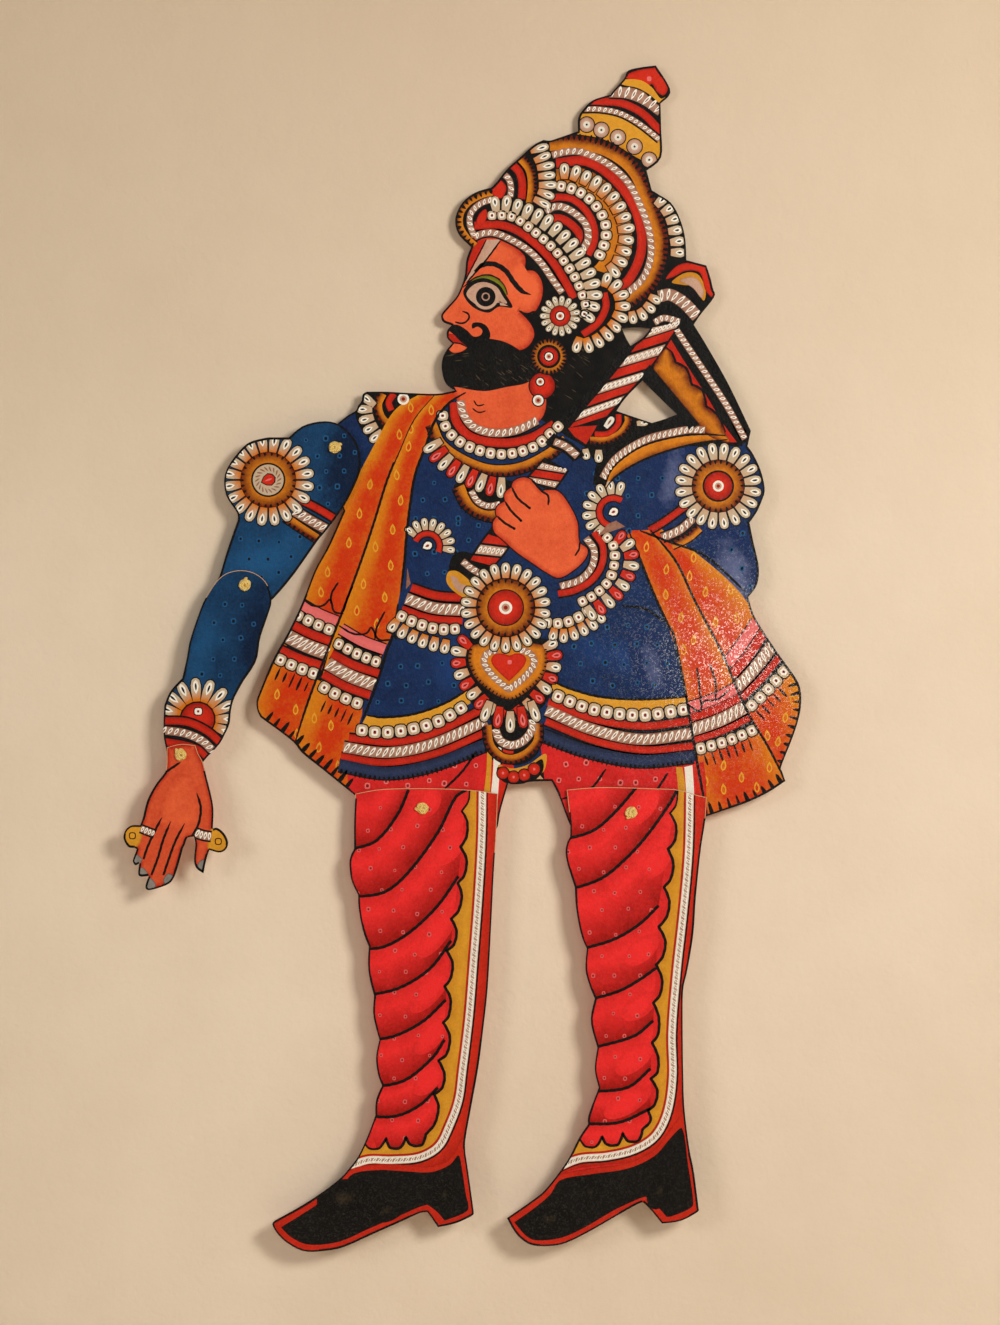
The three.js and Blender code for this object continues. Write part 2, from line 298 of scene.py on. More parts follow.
def smooth(points, closed=False, step=1.5):
    """A curve through the points with a dot about every step mm; a point given twice is a corner."""
    knots = [Vector(p) for p in points]
    count = len(knots)

    def heading(i):
        before, here, after = knots[(i - 1) % count], knots[i % count], knots[(i + 1) % count]
        if not closed and i == 0:
            before = here
        if not closed and i == count - 1:
            after = here
        length = (after - here).length + (here - before).length
        corner = closed and ((after - here).length < 0.01 or (here - before).length < 0.01)
        corner = corner or (0 < i < count - 1 and min((after - here).length, (here - before).length) < 0.01)
        return Vector((0, 0)) if corner or length < 0.01 else (after - before) / length

    dots = []
    for i in range(count if closed else count - 1):
        start, end = knots[i], knots[(i + 1) % count]
        length = (end - start).length
        if length < 0.01:
            continue
        leave, arrive = heading(i) * length, heading((i + 1) % count) * length
        pieces = max(1, round(length / step))
        for k in range(pieces):
            t = k / pieces
            dots.append(start * (2 * t**3 - 3 * t**2 + 1) + leave * (t**3 - 2 * t**2 + t)
                        + end * (3 * t**2 - 2 * t**3) + arrive * (t**3 - t**2))
    if not closed:
        dots.append(knots[-1])
    return dots


def along(dots, places):
    """Position and unit heading at each distance along a line of dots."""
    found, walked, i = [], 0.0, 0
    for place in places:
        while i < len(dots) - 2 and walked + (dots[i + 1] - dots[i]).length < place:
            walked += (dots[i + 1] - dots[i]).length
            i += 1
        step = dots[i + 1] - dots[i]
        length = max(step.length, 1e-6)
        found.append((dots[i] + step * ((place - walked) / length), step / length))
    return found


def length_of(dots):
    return sum((b - a).length for a, b in zip(dots, dots[1:]))


def offset(dots, distance):
    """The same line moved to its left by a distance."""
    moved = []
    for i, dot in enumerate(dots):
        heading = dots[min(i + 1, len(dots) - 1)] - dots[max(i - 1, 0)]
        heading = heading.normalized() if heading.length > 1e-6 else Vector((1, 0))
        moved.append(dot + Vector((-heading.y, heading.x)) * distance)
    return moved


def arc(centre, radius, start=0.0, end=360.0, squeeze=1.0):
    """A circle or part of one, as a line of dots, with angles in degrees from +X towards +Z."""
    pieces = max(8, round(abs(end - start) / 360 * max(14, radius * 3)))
    angles = [math.radians(start + (end - start) * k / pieces) for k in range(pieces + 1)]
    dots = [Vector((centre[0] + radius * math.cos(a),
        centre[1] + radius * squeeze * math.sin(a))) for a in angles]
    return dots[:-1] if abs(end - start) >= 360 else dots


def on(points, closed=False):
    """A painted line through given points; a line that is drawn already stays as it is."""
    drawn = isinstance(points[0], Vector) and not closed
    return points if drawn else smooth(points, closed)


COAT = 0.015  # mm that each further coat stands above the one below
LAP = 0.0008  # mm that each further colour of one coat stands above the one before
HAND = random.Random(11)  # unsteadiness of the painter's hand


class Painting:
    """Flat films of dye on one sheet, gathered by colour. A film goes through the hide and shows
    on both faces."""

    def __init__(self, name, sheet, body):
        self.name, self.sheet, self.body = name, sheet, body
        self.films = {}
        corner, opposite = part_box(sheet)
        self.front, self.back = corner[1] / MM, opposite[1] / MM

    def _solid(self, colour, dots, shades, cells, rim, coat):
        """A closed plate from flat dots, the cells that face front and the rim in order."""
        verts, faces, tones = self.films.setdefault(colour, ([], [], []))
        base, count = len(verts), len(dots)
        raised = COAT * coat + LAP * list(PIGMENTS).index(colour)
        verts += [(p[0] * MM, (self.front - raised) * MM, p[1] * MM) for p in dots]
        verts += [(p[0] * MM, (self.back + raised) * MM, p[1] * MM) for p in dots]
        tones += list(shades) * 2
        faces += [tuple(base + i for i in cell) for cell in cells]
        faces += [tuple(base + count + i for i in reversed(cell)) for cell in cells]
        faces += [
            (base + b, base + a, base + count + a, base + count + b)
            for a, b in zip(rim, rim[1:] + rim[:1])]

    def fill(self, colour, outline, coat, shade=0.7, edge=None, rim=2.0):
        """One flat area; with edge given, its shade runs from edge at the border to shade further in."""
        area = sum(a[0] * b[1] - b[0] * a[1] for a, b in zip(outline, outline[1:] + outline[:1]))
        dots = list(outline) if area > 0 else list(outline)[::-1]
        count = len(dots)
        if edge is None:
            return self._solid(colour, dots, [shade] * count, [tuple(range(count))], list(range(count)), coat)
        inner = [dot.lerp(moved, self._room(dots, i, rim)) for i, (dot, moved)
                 in enumerate(zip(dots, offset(dots[-1:] + dots + dots[:1], rim)[1:-1]))]
        cells = [(i, (i + 1) % count, count + (i + 1) % count, count + i) for i in range(count)]
        cells.append(tuple(range(count, 2 * count)))
        shades = [edge] * count + [shade] * count
        return self._solid(colour, dots + inner, shades, cells, list(range(count)), coat)

    def blob(self, colour, points, *finish):
        """A flat area with a rounded outline through given points."""
        self.fill(colour, on(points, True), *finish)

    def _room(self, dots, i, rim):
        """How much of the rim fits between dot i and the far side of a narrow outline, at most 1."""
        heading = (dots[(i + 1) % len(dots)] - dots[i - 1]).normalized()
        inward, share = Vector((-heading.y, heading.x)), 1.0
        for k in range(len(dots)):
            if min((k - i) % len(dots), (i - k) % len(dots)) > 1:
                way = dots[k] - dots[i]
                if way.dot(inward) > 0:
                    share = min(share, 0.45 * way.length_squared / (2 * way.dot(inward) * rim) * 1.6)
        return share

    def strip(self, colour, rails, shades, coat):
        """A band between two or more lines of equally many dots, shaded from line to line."""
        rows, cols = len(rails[0]), len(rails)
        dots = [rails[j][i] for i in range(rows) for j in range(cols)]
        cells = [(i * cols + j, (i + 1) * cols + j, (i + 1) * cols + j + 1, i * cols + j + 1)
                 for i in range(rows - 1) for j in range(cols - 1)]
        left = [i * cols for i in range(rows)]
        right = [i * cols + cols - 1 for i in range(rows)][::-1]
        bottom = list(range((rows - 1) * cols + 1, rows * cols - 1))
        top = list(range(1, cols - 1))[::-1]
        tones = [shades[j] for i in range(rows) for j in range(cols)]
        a, b, c = (dots[k] for k in cells[len(cells) // 2][:3])
        rim = left + bottom + right + top
        if (b - a).x * (c - b).y - (b - a).y * (c - b).x < 0:
            cells = [cell[::-1] for cell in cells]
            rim = rim[::-1]
        self._solid(colour, dots, tones, cells, rim, coat)

    def band(self, colour, dots, width, coat=4, shades=(0.45, 0.95, 0.45), border=1.0):
        """A band of one colour along a line, with ink showing at both sides."""
        dots = on(dots)
        if border:
            self.strip("ink", [offset(dots, -width / 2 - border),
                offset(dots, width / 2 + border)], (0.4, 0.4), coat - 1)
        spread = len(shades) - 1
        rails = [offset(dots, width * (k / spread - 0.5)) for k in range(spread + 1)]
        self.strip(colour, rails, shades, coat)

    def between(self, colour, one, other, shades, coat, step=3.0):
        """Cloth between two edges, shaded across from the first to the second."""
        one, other = on(one), on(other)
        rows = max(2, round(max(length_of(one), length_of(other)) / step))
        a = [p for p, _ in along(one, [length_of(one) * k / rows for k in range(rows + 1)])]
        b = [p for p, _ in along(other, [length_of(other) * k / rows for k in range(rows + 1)])]
        spread = len(shades) - 1
        rails = [[p.lerp(q, k / spread) for p, q in zip(a, b)] for k in range(spread + 1)]
        self.strip(colour, rails, shades, coat)

    def line(self, points, width=1.4, coat=9, colour="ink", tips=(0.5, 0.5)):
        """A brush line that thins towards its two tips."""
        dots = smooth(points)
        count = len(dots) - 1
        sides = []
        for side in (-1, 1):
            edge = []
            for i, dot in enumerate(dots):
                t = i / count
                thin = min(1.0, tips[0] + t * 5, tips[1] + (1 - t) * 5)
                wobble = 1 + 0.24 / (width + 0.5) * math.sin(i * 1.7 + side)
                edge.append(offset(dots, side * width * 0.6 * thin * wobble)[i])
            sides.append(edge)
        self.strip(colour, sides, (0.4, 0.4), coat)

    def mark(self, colour, shape, place, heading, size, coat, shade=0.8):
        """One small shape, given as (across, out) pairs, turned so that out lies along heading."""
        place, across = Vector(place), Vector((heading.y, -heading.x))
        dots = [place + across * (u * size[0]) + heading * (v * size[1]) for u, v in shape]
        shades = [shade] * len(dots)
        if isinstance(shade, tuple):
            shades = [shade[0] + (shade[1] - shade[0]) * min(1.0, (v + 0.5) * 2.4) for _, v in shape]
        area = sum(a.x * b.y - b.x * a.y for a, b in zip(dots, dots[1:] + dots[:1]))
        order = list(range(len(dots)))
        if area < 0:
            dots, shades = dots[::-1], shades[::-1]
        self._solid(colour, dots, shades, [tuple(order)], order, coat)

    def disc(self, colour, centre, radius, coat, shade=0.8, edge=None):
        self.fill(colour, arc(centre, radius), coat, shade, edge, radius * 0.45)

    def lay(self):
        """Makes one piece of each colour, trims it to the sheet's cut shape and ties it to its body."""
        bpy.ops.object.select_all(action="DESELECT")
        source = bpy.data.objects[self.sheet]
        cutter = bpy.data.objects.new("trim_shape", source.data.copy())
        bpy.context.scene.collection.objects.link(cutter)
        cutter.select_set(True)
        bpy.context.view_layer.objects.active = cutter
        bpy.ops.object.mode_set(mode="EDIT")
        bpy.ops.mesh.select_all(action="SELECT")
        bpy.ops.mesh.remove_doubles(threshold=1e-6)
        bpy.ops.object.mode_set(mode="OBJECT")
        centre = (self.front + self.back) / 2 * MM
        for vertex in cutter.data.vertices:
            vertex.co.y = centre + (vertex.co.y - centre) * 4
        for colour, (verts, faces, tones) in self.films.items():
            mesh = bpy.data.meshes.new(f"{self.name}_{colour}")
            mesh.from_pydata(verts, [], faces)
            shade = mesh.attributes.new("shade", "FLOAT", "CORNER").data
            shade.foreach_set("value", [tones[loop.vertex_index] for loop in mesh.loops])
            mesh.materials.append(PAINT[colour])
            piece = bpy.data.objects.new(mesh.name, mesh)
            bpy.context.scene.collection.objects.link(piece)
            bpy.ops.object.select_all(action="DESELECT")
            piece.select_set(True)
            bpy.context.view_layer.objects.active = piece
            trim = piece.modifiers.new("trim", "BOOLEAN")
            trim.operation, trim.solver, trim.object = "INTERSECT", "MANIFOLD", cutter
            bpy.ops.object.modifier_apply(modifier="trim")
            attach(piece, self.body)
        bpy.data.objects.remove(cutter)


art = Painting("body", "body_sheet", "body")

# ---------------------------------------------------------------------------------------------
# Jacket: one wash of dark blue over the chest, the raised sleeve and the skirt, with little punched
# holes ringed in lighter blue. Everything else on the body sheet is laid over it.
BEAD = [
    (0.5 * math.copysign(abs(math.cos(turn)) ** 0.65, math.cos(turn)),
        0.5 * math.copysign(abs(math.sin(turn)) ** 0.65, math.sin(turn)))
    for turn in (math.tau * k / 12 for k in range(12))]
LEAF = [(0, -0.5), (-0.36, -0.22), (-0.5, 0.1), (-0.33, 0.38), (0, 0.5), (0.33, 0.38), (0.5, 0.1),
    (0.36, -0.22)]
UP = Vector((0, 1))


def outward(heading, side):
    return Vector((-heading.y, heading.x)) * side


def inside(place, outline):
    crossings = 0
    for a, b in zip(outline, outline[1:] + outline[:1]):
        if (a[1] > place.y) != (b[1] > place.y):
            crossings += place.x < a[0] + (place.y - a[1]) / (b[1] - a[1]) * (b[0] - a[0])
    return crossings % 2 == 1


def punched(art, outline, spacing, ring, shade=1.0, hole_shade="ink", coat=3, radius=1.9):
    """Punched holes ringed with colour, in uneven rows over one area; each hole is a dark dot of painted
    shade, not cut through the hide.
    """
    xs, zs = [p[0] for p in outline], [p[1] for p in outline]
    row, z = 0, min(zs) + spacing * 0.4
    while z < max(zs):
        x = min(xs) + spacing * (0.3 + 0.5 * (row % 2))
        while x < max(xs):
            place = Vector((x + HAND.uniform(-2.2, 2.2), z + HAND.uniform(-2.2, 2.2)))
            size = radius * HAND.uniform(0.8, 1.15)
            if inside(place, outline):
                tilt = Vector((HAND.uniform(-0.3, 0.3), 1)).normalized()
                art.mark(ring, BEAD, place, tilt, (size * 2, size * 2.2), coat, shade)
                art.mark(hole_shade, BEAD, place, tilt, (size * 1.0, size * 1.15), coat + 1, 0.1)
            x += spacing
        z += spacing * 0.87
        row += 1


art.fill("blue", [(-124, 150), (-22.5, 150), (45, 112.5), (105, 108), (150, 116), (206, 116), (206, -30),
    (150, -45), (151.5, -139), (45, -146), (-15, -139), (-112.5, -142.5), (-150, -90), (-150, 60)], 0.6,
    0.42)
for patch in (
        [(64, 96), (105, 82.5), (126, 97.5), (129, 60), (105, 39), (75, 30), (60, 60)],
        [(-69, 75), (-45, 75), (-22.5, 45), (-34, -15), (-67.5, 6)],
        [(168, 28), (193.5, 40.5), (193.5, -4), (187.5, -13.5)],
        [(-75, -56), (-34, -56), (-22.5, -90), (-45, -99), (-97.5, -99)],
        [(54, -45), (90, -28.5), (116, -28.5), (136.5, -82.5), (75, -84), (49.5, -75)],
        [(-37.5, 67.5), (0, 37.5), (-22.5, 7.5), (-37.5, 30)]):
    punched(art, patch, 16, "sky", 0.95)


def tone_and_sheen_patch(art, spine, width, colour="blue", shade=0.85, rest=0.42, coat=1):
    """A soft oval patch, lighter or darker than the wash round it: strongest in the middle, nothing at its
    rim. A lighter patch is a painted sheen highlight; a darker one is a deeper tone of the dye."""
    ends = [Vector(p) for p in spine]
    centre, half = (ends[0] + ends[-1]) / 2, (ends[-1] - ends[0]) / 2
    side = Vector((-half.y, half.x)).normalized() * width / 2
    dots, tones, cells = [centre], [shade], []
    rings, number = 6, 24
    for ring in range(1, rings + 1):
        for k in range(number):
            turn, reach = math.tau * k / number, ring / rings
            dots.append(centre + half * math.cos(turn) * reach + side * math.sin(turn) * reach)
            tones.append(rest + (shade - rest) * (0.5 + 0.5 * math.cos(math.pi * reach)))
    for k in range(number):
        after = (k + 1) % number
        cells.append((0, 1 + k, 1 + after))
        for ring in range(rings - 1):
            a, b = 1 + ring * number, 1 + (ring + 1) * number
            cells.append((a + k, b + k, b + after, a + after))
    rim = list(range(1 + (rings - 1) * number, 1 + rings * number))
    art._solid(colour, dots, tones, cells, rim, coat)


# Lighter patches on the blue wash: painted sheen highlights.
for spine, width in (
        ([(133.5, 120), (115.5, 30)], 36),
        ([(-36, -22.5), (-43.5, -108)], 40),
        ([(37.5, -45), (135, -66)], 44)):
    tone_and_sheen_patch(art, spine, width)
# Over them, smaller painted highlights in greyish lilac.
tone_and_sheen_patch(art, [(160.5, 51), (192, -36)], 44, "glow", 0.6, -0.35, 1.5)
tone_and_sheen_patch(art, [(138, 120), (121.5, 33)], 34, "glow", 0.5, -0.35, 1.5)
tone_and_sheen_patch(art, [(102, -30), (127.5, -102)], 30, "glow", 0.4, -0.35, 1.5)

# ---------------------------------------------------------------------------------------------
# Leg cloth above the hips: crimson wrapped cloth at both thigh ends of the body sheet.
art.fill("crimson", [(-116, -127.5), (-75, -141), (-45, -136.5), (-12, -121.5), (10.5, -129), (9, -165),
    (0, -206), (-112.5, -206)], 1.2, 0.55)
art.fill("crimson", [(30, -121.5), (67.5, -135), (105, -141), (159, -135), (159, -187.5), (150, -206),
    (45, -206), (34, -157.5)], 1.2, 0.55)
punched(art, [(-105, -139.5), (-52.5, -142.5), (-15, -131), (-13.5, -157.5), (-105, -159)], 15, "pink",
    0.9, "red", 3)
punched(art, [(39, -127.5), (75, -141), (120, -144), (131, -157.5), (45, -156)], 15, "pink", 0.9, "red", 3)
for fold in (
        [(-18, -129), (-28.5, -144), (-42, -157.5)],
        [(79.5, -142.5), (67.5, -157.5), (46.5, -165)],
        [(126, -145.5), (116, -161)],
        [(40, -154.5), (45, -165), (52.5, -186)]):
    art.line(fold, 1.5)
for left, right, colour, shade in (
        ([(-10, -126), (-10.5, -144), (-13, -165)], [(-6, -126), (-7, -144), (-8, -165)], "ochre", 0.6),
        ([(-5, -126), (-5.5, -144), (-7.5, -165)], [(1, -126), (-0.5, -144), (-2, -165)], "white", 0.6),
        ([(2, -127.5), (1, -146), (-1, -165), (-2, -189)], [(10, -127.5), (8, -153), (4.5, -165),
            (0, -189)], "red", 0.8),
        ([(132, -141), (133.5, -154), (133.5, -165)], [(137, -141), (139, -154), (139.5, -165)], "ochre",
            0.6),
        ([(138.5, -141), (139.5, -154), (140, -165)], [(144.5, -139.5), (145.5, -154), (146, -165)],
            "white", 0.6),
        ([(145.5, -139.5), (147, -154), (148, -187.5)], [(153, -136.5), (155, -154), (154.5, -187.5)],
            "red", 0.8)):
    art.between(colour, left, right, (shade, shade), 6)


# ---------------------------------------------------------------------------------------------
# Sash over the left shoulder and its twin over the right arm: orange cloth, gold where the dye is
# thin, each crossed by a pink fold, rows of beads and striped borders, and ended by a cut fringe.
PETAL = [(-0.34, -0.5), (-0.46, -0.05), (-0.48, 0.2), (-0.36, 0.42), (-0.12, 0.5), (0.12, 0.5),
    (0.36, 0.42), (0.48, 0.2), (0.46, -0.05), (0.34, -0.5)]


def spaced(dots, spacing, count=None):
    dots = on(dots)
    total = length_of(dots)
    count = count or max(1, round(total / spacing))
    return along(dots, [total * (k + 0.5) / count for k in range(count)]), total / count


def beads(art, dots, size, coat=8, count=None, fit=0.93, shade=0.92):
    """A row of squarish beads, each with a white ring and, for its punched hole, a dark red dot of painted
    shade; ink between them.
    """
    places, gap = spaced(dots, size, count)
    for place, heading in places:
        tilt = (outward(heading, 1) + Vector((HAND.uniform(-0.08, 0.08),
            HAND.uniform(-0.08, 0.08)))).normalized()
        wide, high = gap * fit, size * HAND.uniform(0.92, 1.04)
        art.mark("ink", BEAD, place, tilt, (wide + 1.5, high + 1.9), coat - 1, 0.3)
        art.mark("cream", BEAD, place, tilt, (wide - 0.2, high), coat, shade)
        art.mark("white", BEAD, place, tilt, (size * 0.56, size * 0.6), coat + 1, 0.95)
        # The punched hole is a deep red dot: painted shade.
        art.mark("red", BEAD, place, tilt, (size * 0.24, size * 0.28), coat + 2, -0.3)


def petal(art, place, out, wide, long, coat=8, colour="cream", base=0.35):
    """One petal: ink behind, a leaf-shaped white mark and its dark slit in front."""
    art.mark("ink", PETAL, place, out, (wide + 1.5, long + 1.9), coat - 1, 0.3)
    shade = (base, 1.05) if colour == "cream" else (0.9, 0.6)
    art.mark(colour, PETAL, place, out, (wide, long), coat, shade)
    bright = "white" if colour == "cream" else "pink"
    head = Vector(place) + out * long * 0.12
    art.mark(bright, LEAF, head, out, (wide * 0.56, long * 0.6), coat + 1, 0.95)
    art.mark("ink" if colour == "cream" else "red", LEAF, head, out, (wide * 0.2, long * 0.34), coat + 2, 0.2)


def petals(art, dots, long, wide, side, colours=("cream",), base=0.35, coat=8, count=None):
    """A row of petals whose centres lie on a line and which point to one side of it."""
    places, gap = spaced(dots, wide, count)
    for k, (place, heading) in enumerate(places):
        petal(art, place, outward(heading, side), gap * 0.88, long * HAND.uniform(0.94, 1.05), coat,
              colours[k % len(colours)], base)


def leaf_band(art, dots, width, coat=6, spacing=4.8, slant=0.6, border=1.0):
    """A pinkish band with a row of slanted white leaf marks."""
    art.band("rose", dots, width * 0.94, coat, (0.3, 0.6, 0.3), border + 0.3)
    places, _ = spaced(dots, spacing)
    for place, heading in places:
        out = (outward(heading, 1) + heading * (slant + HAND.uniform(-0.12, 0.12))).normalized()
        high = width * HAND.uniform(0.9, 1.05)
        art.mark("white", LEAF, place, out, (2.6 if width > 6.2 else 2.2, high), coat + 2, 0.95)
        art.mark("rose", LEAF, place, out, (0.9 if width > 6.2 else 0.7, high * 0.52), coat + 3, 0.0)


def red_band(art, dots, width, coat=6, border=1.0):
    art.band("red", dots, width * 0.88, coat, (0.4, 0.85, 0.7, 0.4), border + 0.4)


def ticks(art, dots, spacing, long, side, coat=9, wide=1.0):
    """Short ink strokes that run in from one side of a line."""
    for place, heading in spaced(dots, spacing)[0]:
        size = (wide * HAND.uniform(0.8, 1.3), long * HAND.uniform(0.75, 1.2))
        art.mark("ink", LEAF, place, outward(heading, side), size, coat, 0.3)


def toothed(art, dots, width, side, coat=6, spacing=4.2, shades=(0.85, 0.75, 0.1, -0.2)):
    """A gold band that darkens to brown-red on its toothed side."""
    dots = on(dots)
    order = shades if side > 0 else shades[::-1]
    art.band("gold", dots, width, coat, order)
    ticks(art, offset(dots, side * width * 0.4), spacing, width * 0.55, side, coat + 2, 2.3)


def drops(art, places, coat=3, size=(4.4, 8.6)):
    """Teardrops ringed in yellow, punched here and there in the cloth."""
    for place in places:
        lean = Vector((HAND.uniform(-0.2, 0.15), -1)).normalized()
        art.mark("ochre", LEAF, Vector(place), lean, size, coat, HAND.uniform(0.7, 1.2))
        art.mark("orange", LEAF, Vector(place) + lean * 0.4, lean, (size[0] * 0.56, size[1] * 0.6),
            coat + 1, HAND.uniform(0.0, 0.5))


sash_left = [(-58.5, 141), (-79, 128), (-93, 105), (-106.5, 79.5), (-121.5, 49.5), (-132, 25), (-141, 7.5),
    (-149, -12), (-155, -26), (-163.5, -41), (-174, -61), (-183, -82.5), (-186, -91.5), (-183, -105)]
sash_mid = [(-48, 141), (-65, 121), (-77, 95), (-85.5, 74), (-94.5, 45), (-104.5, 15), (-121.5, -31),
    (-134, -63), (-145.5, -94), (-155, -124)]
sash_right = [(-22.5, 142), (-38, 133.5), (-49, 120), (-56, 101), (-64, 79.5), (-68, 55.5), (-71, 29),
    (-72, 15), (-76.5, -15), (-82, -41), (-89, -56), (-103.5, -92), (-121.5, -157.5)]
art.between("orange", sash_left, sash_mid, (0.9, 0.4, 0.05, 0.0, 0.15), 2)
art.between("orange", sash_mid, sash_right, (0.8, 0.6, 0.15, 0.0, 0.1, 0.3), 2)
art.fill("orange", [(-186, -90), (-150, -101), (-124, -105), (-103.5, -92), (-108, -165), (-119, -156),
    (-149, -132), (-183, -106.5)], 1, 0.3)
drops(art, [(-68, 130), (-81, 105), (-98, 72), (-106, 50), (-114, 28), (-130, 6), (-135, -9), (-52, 128),
    (-69, 100.5), (-78, 79), (-67.5, 114), (-81, 38), (-94, 25), (-82.5, 11), (-103, -3), (-87, -13),
    (-108, -23), (-93, -33), (-75, 60), (-168, -86), (-154, -97.5), (-140, -104), (-127.5, -109.5),
    (-122, -140), (-153, -116), (-136.5, -126)])
art.line(sash_mid, 1.5)
art.line([(-26, 141), (-38, 133.5), (-49, 120), (-56, 101), (-64, 79.5), (-68, 55.5), (-71, 29), (-72, 15),
    (-75, -9)], 1.7)
art.line([(-77, -18), (-80, -39), (-85.5, -54), (-91, -72), (-97, -89), (-104, -106.5)], 1.7, 6)
for fold in (
        [(-122, -2), (-127, -10.5), (-127.5, -18)],
        [(-111, -4.5), (-115.5, -15), (-118, -24)],
        [(-87, -24), (-93, -36), (-94.5, -45)],
        [(-148, -15), (-141, -19.5), (-133.5, -19.5), (-128, -15), (-125, -24), (-118, -25.5)],
        [(-121.5, -34.5), (-111, -40.5), (-101, -40.5), (-97, -36), (-91.5, -45), (-81, -45)]):
    art.line(fold, 1.3)


def row_of(art, kind, dots, width):
    """One row of a border along a line: a pink, red or leaf-marked band, or a string of beads."""
    if kind == "pink":
        art.band("pink", dots, width, 5, (0.7, 0.9, 0.5))
    elif kind == "red":
        red_band(art, dots, width)
    elif kind == "leaf":
        leaf_band(art, dots, width)
    else:
        beads(art, dots, width)


def crossing(art, rows):
    """Rows across a cloth: each is a kind with its two ends, how far it sags and its width."""
    for kind, start, end, sag, width in rows:
        a, b = Vector(start), Vector(end)
        normal = Vector((-(b - a).y, (b - a).x)).normalized()
        dots = smooth([a, (a + b) / 2 - normal * sag, b])
        row_of(art, kind, dots, width if kind == "beads" else width * 1.2)


art.fill("ink", [(-148, -19.5), (-123, -31.5), (-135, -76.5), (-166, -62)], 4, 0.3)
art.fill("ink", [(-118.5, -39), (-89, -52.5), (-103.5, -91.5), (-133, -82.5)], 4, 0.3)
crossing(art, (
    ("pink", (-150, -18), (-123, -31.5), 1.0, 6.5),
    ("red", (-158, -33), (-127, -46.5), 1.0, 6.1),
    ("leaf", (-163, -41), (-130, -55.5), 1.0, 9.2),
    ("red", (-167, -52), (-133.5, -65), 1.0, 6.1),
    ("beads", (-156, -25), (-125, -39), 0.5, 8.2),
    ("beads", (-169.5, -58.5), (-136.5, -72), 0.5, 8.6),
    ("pink", (-120, -37), (-87, -52.5), 1.5, 6.5),
    ("red", (-127, -55.5), (-91.5, -70.5), 1.5, 5.8),
    ("leaf", (-130, -63), (-95, -79), 1.5, 8.6),
    ("red", (-133.5, -71), (-98, -87), 1.5, 5.8),
    ("beads", (-125, -46.5), (-90, -63), 1.0, 8.4),
    ("beads", (-136.5, -79), (-103.5, -94.5), 1.0, 8.6)))
for comb in ([(-168, -64.5), (-141, -76.5)], [(-133.5, -89), (-108, -100.5)]):
    ticks(art, offset(on(comb), -5.5), 5.6, 11, -1, 9, 1.7)
ticks(art, [(-178.5, -103.5), (-156, -121), (-133.5, -141), (-112.5, -157.5)], 7, 17, 1, 9, 3.0)

shawl_left = [(93, 37), (105, 16.5), (115.5, -10.5), (126, -34.5), (132, -52.5), (138, -82.5),
    (144, -112.5), (150, -142.5), (157.5, -181.5)]
shawl_mid = [(113, 37.5), (132, 14), (146, -15), (167, -55.5), (180, -87), (189, -105), (202.5, -127.5),
    (216, -154.5)]
shawl_right = [(120, 39), (150, 18), (178.5, -7.5), (195, -31.5), (210, -57), (225, -82.5), (229.5, -102),
    (222, -124), (213, -144)]
art.between("orange", shawl_left, shawl_mid, (0.45, 0.1, 0.0, 0.15, 0.7), 2)
art.between("orange", shawl_mid, shawl_right, (0.15, 0.0, 0.35, 0.85), 2)
drops(art, [(110, 25), (125, 8), (124.5, -11), (136, -28), (145.5, -45), (138, -52.5), (145.5, 17),
    (154.5, -9), (173, -7), (142.5, 3), (162, -31.5), (178, -28.5), (184, -45), (154.5, -151.5),
    (168, -157.5), (181.5, -148.5), (193, -156), (202.5, -141), (201, -117), (214.5, -103.5),
    (209, -121.5), (220, -90), (168, -139.5)])
art.fill("orange", [(152, -129), (166.5, -129), (169.5, -178.5), (155, -180), (151, -157.5)], 1, 0.2)
art.line(shawl_mid, 1.5)
art.line([(97, 36), (105, 16), (115.5, -10.5), (126.5, -34.5), (130, -40.5), (137, -72.5), (141, -95),
    (148.5, -139.5), (155.5, -177)], 1.7)
art.line([(105, 37), (126, 29), (154, 18), (184.5, -9)], 1.5)
for fold in (
        [(148, -66), (150, -82.5), (151, -94.5)],
        [(157.5, -63), (162, -78), (162, -90)],
        [(140, -93), (150, -99), (153, -91.5), (163.5, -90), (172.5, -82.5)]):
    art.line(fold, 1.3)
art.fill("ink", [(142.5, -97.5), (178, -82.5), (193, -111), (148, -128)], 4, 0.3)
art.fill("ink", [(173, -64.5), (193, -36), (217.5, -67.5), (185, -97)], 4, 0.3)
crossing(art, (
    ("pink", (142, -96), (178, -81), 1.5, 6.5),
    ("red", (142.5, -104), (180, -88.5), 1.5, 6.0),
    ("leaf", (144, -113), (184, -96), 1.5, 8.5),
    ("red", (145.5, -121), (187.5, -104), 1.5, 4.5),
    ("beads", (147, -128), (193, -112), 1.5, 8.6),
    ("pink", (171, -63), (193, -31.5), 0.5, 7.0),
    ("red", (175, -71), (198, -40), 1.0, 7.0),
    ("leaf", (178.5, -81), (205, -49), 1.0, 8.0),
    ("red", (182, -89), (210, -58), 1.0, 5.0),
    ("beads", (186, -97.5), (216, -66), 1.0, 8.6)))
for comb in ([(152, -136.5), (191, -123)], [(193, -103.5), (214.5, -82.5)]):
    ticks(art, comb, 5.6, 11, -1, 9, 1.7)
ticks(art, [(156, -177), (187, -167), (214.5, -151)], 7, 16, 1, 9, 2.8)
ticks(art, [(213, -141), (220, -118.5), (226.5, -94.5), (222, -75)], 7, 14, 1, 9, 2.6)

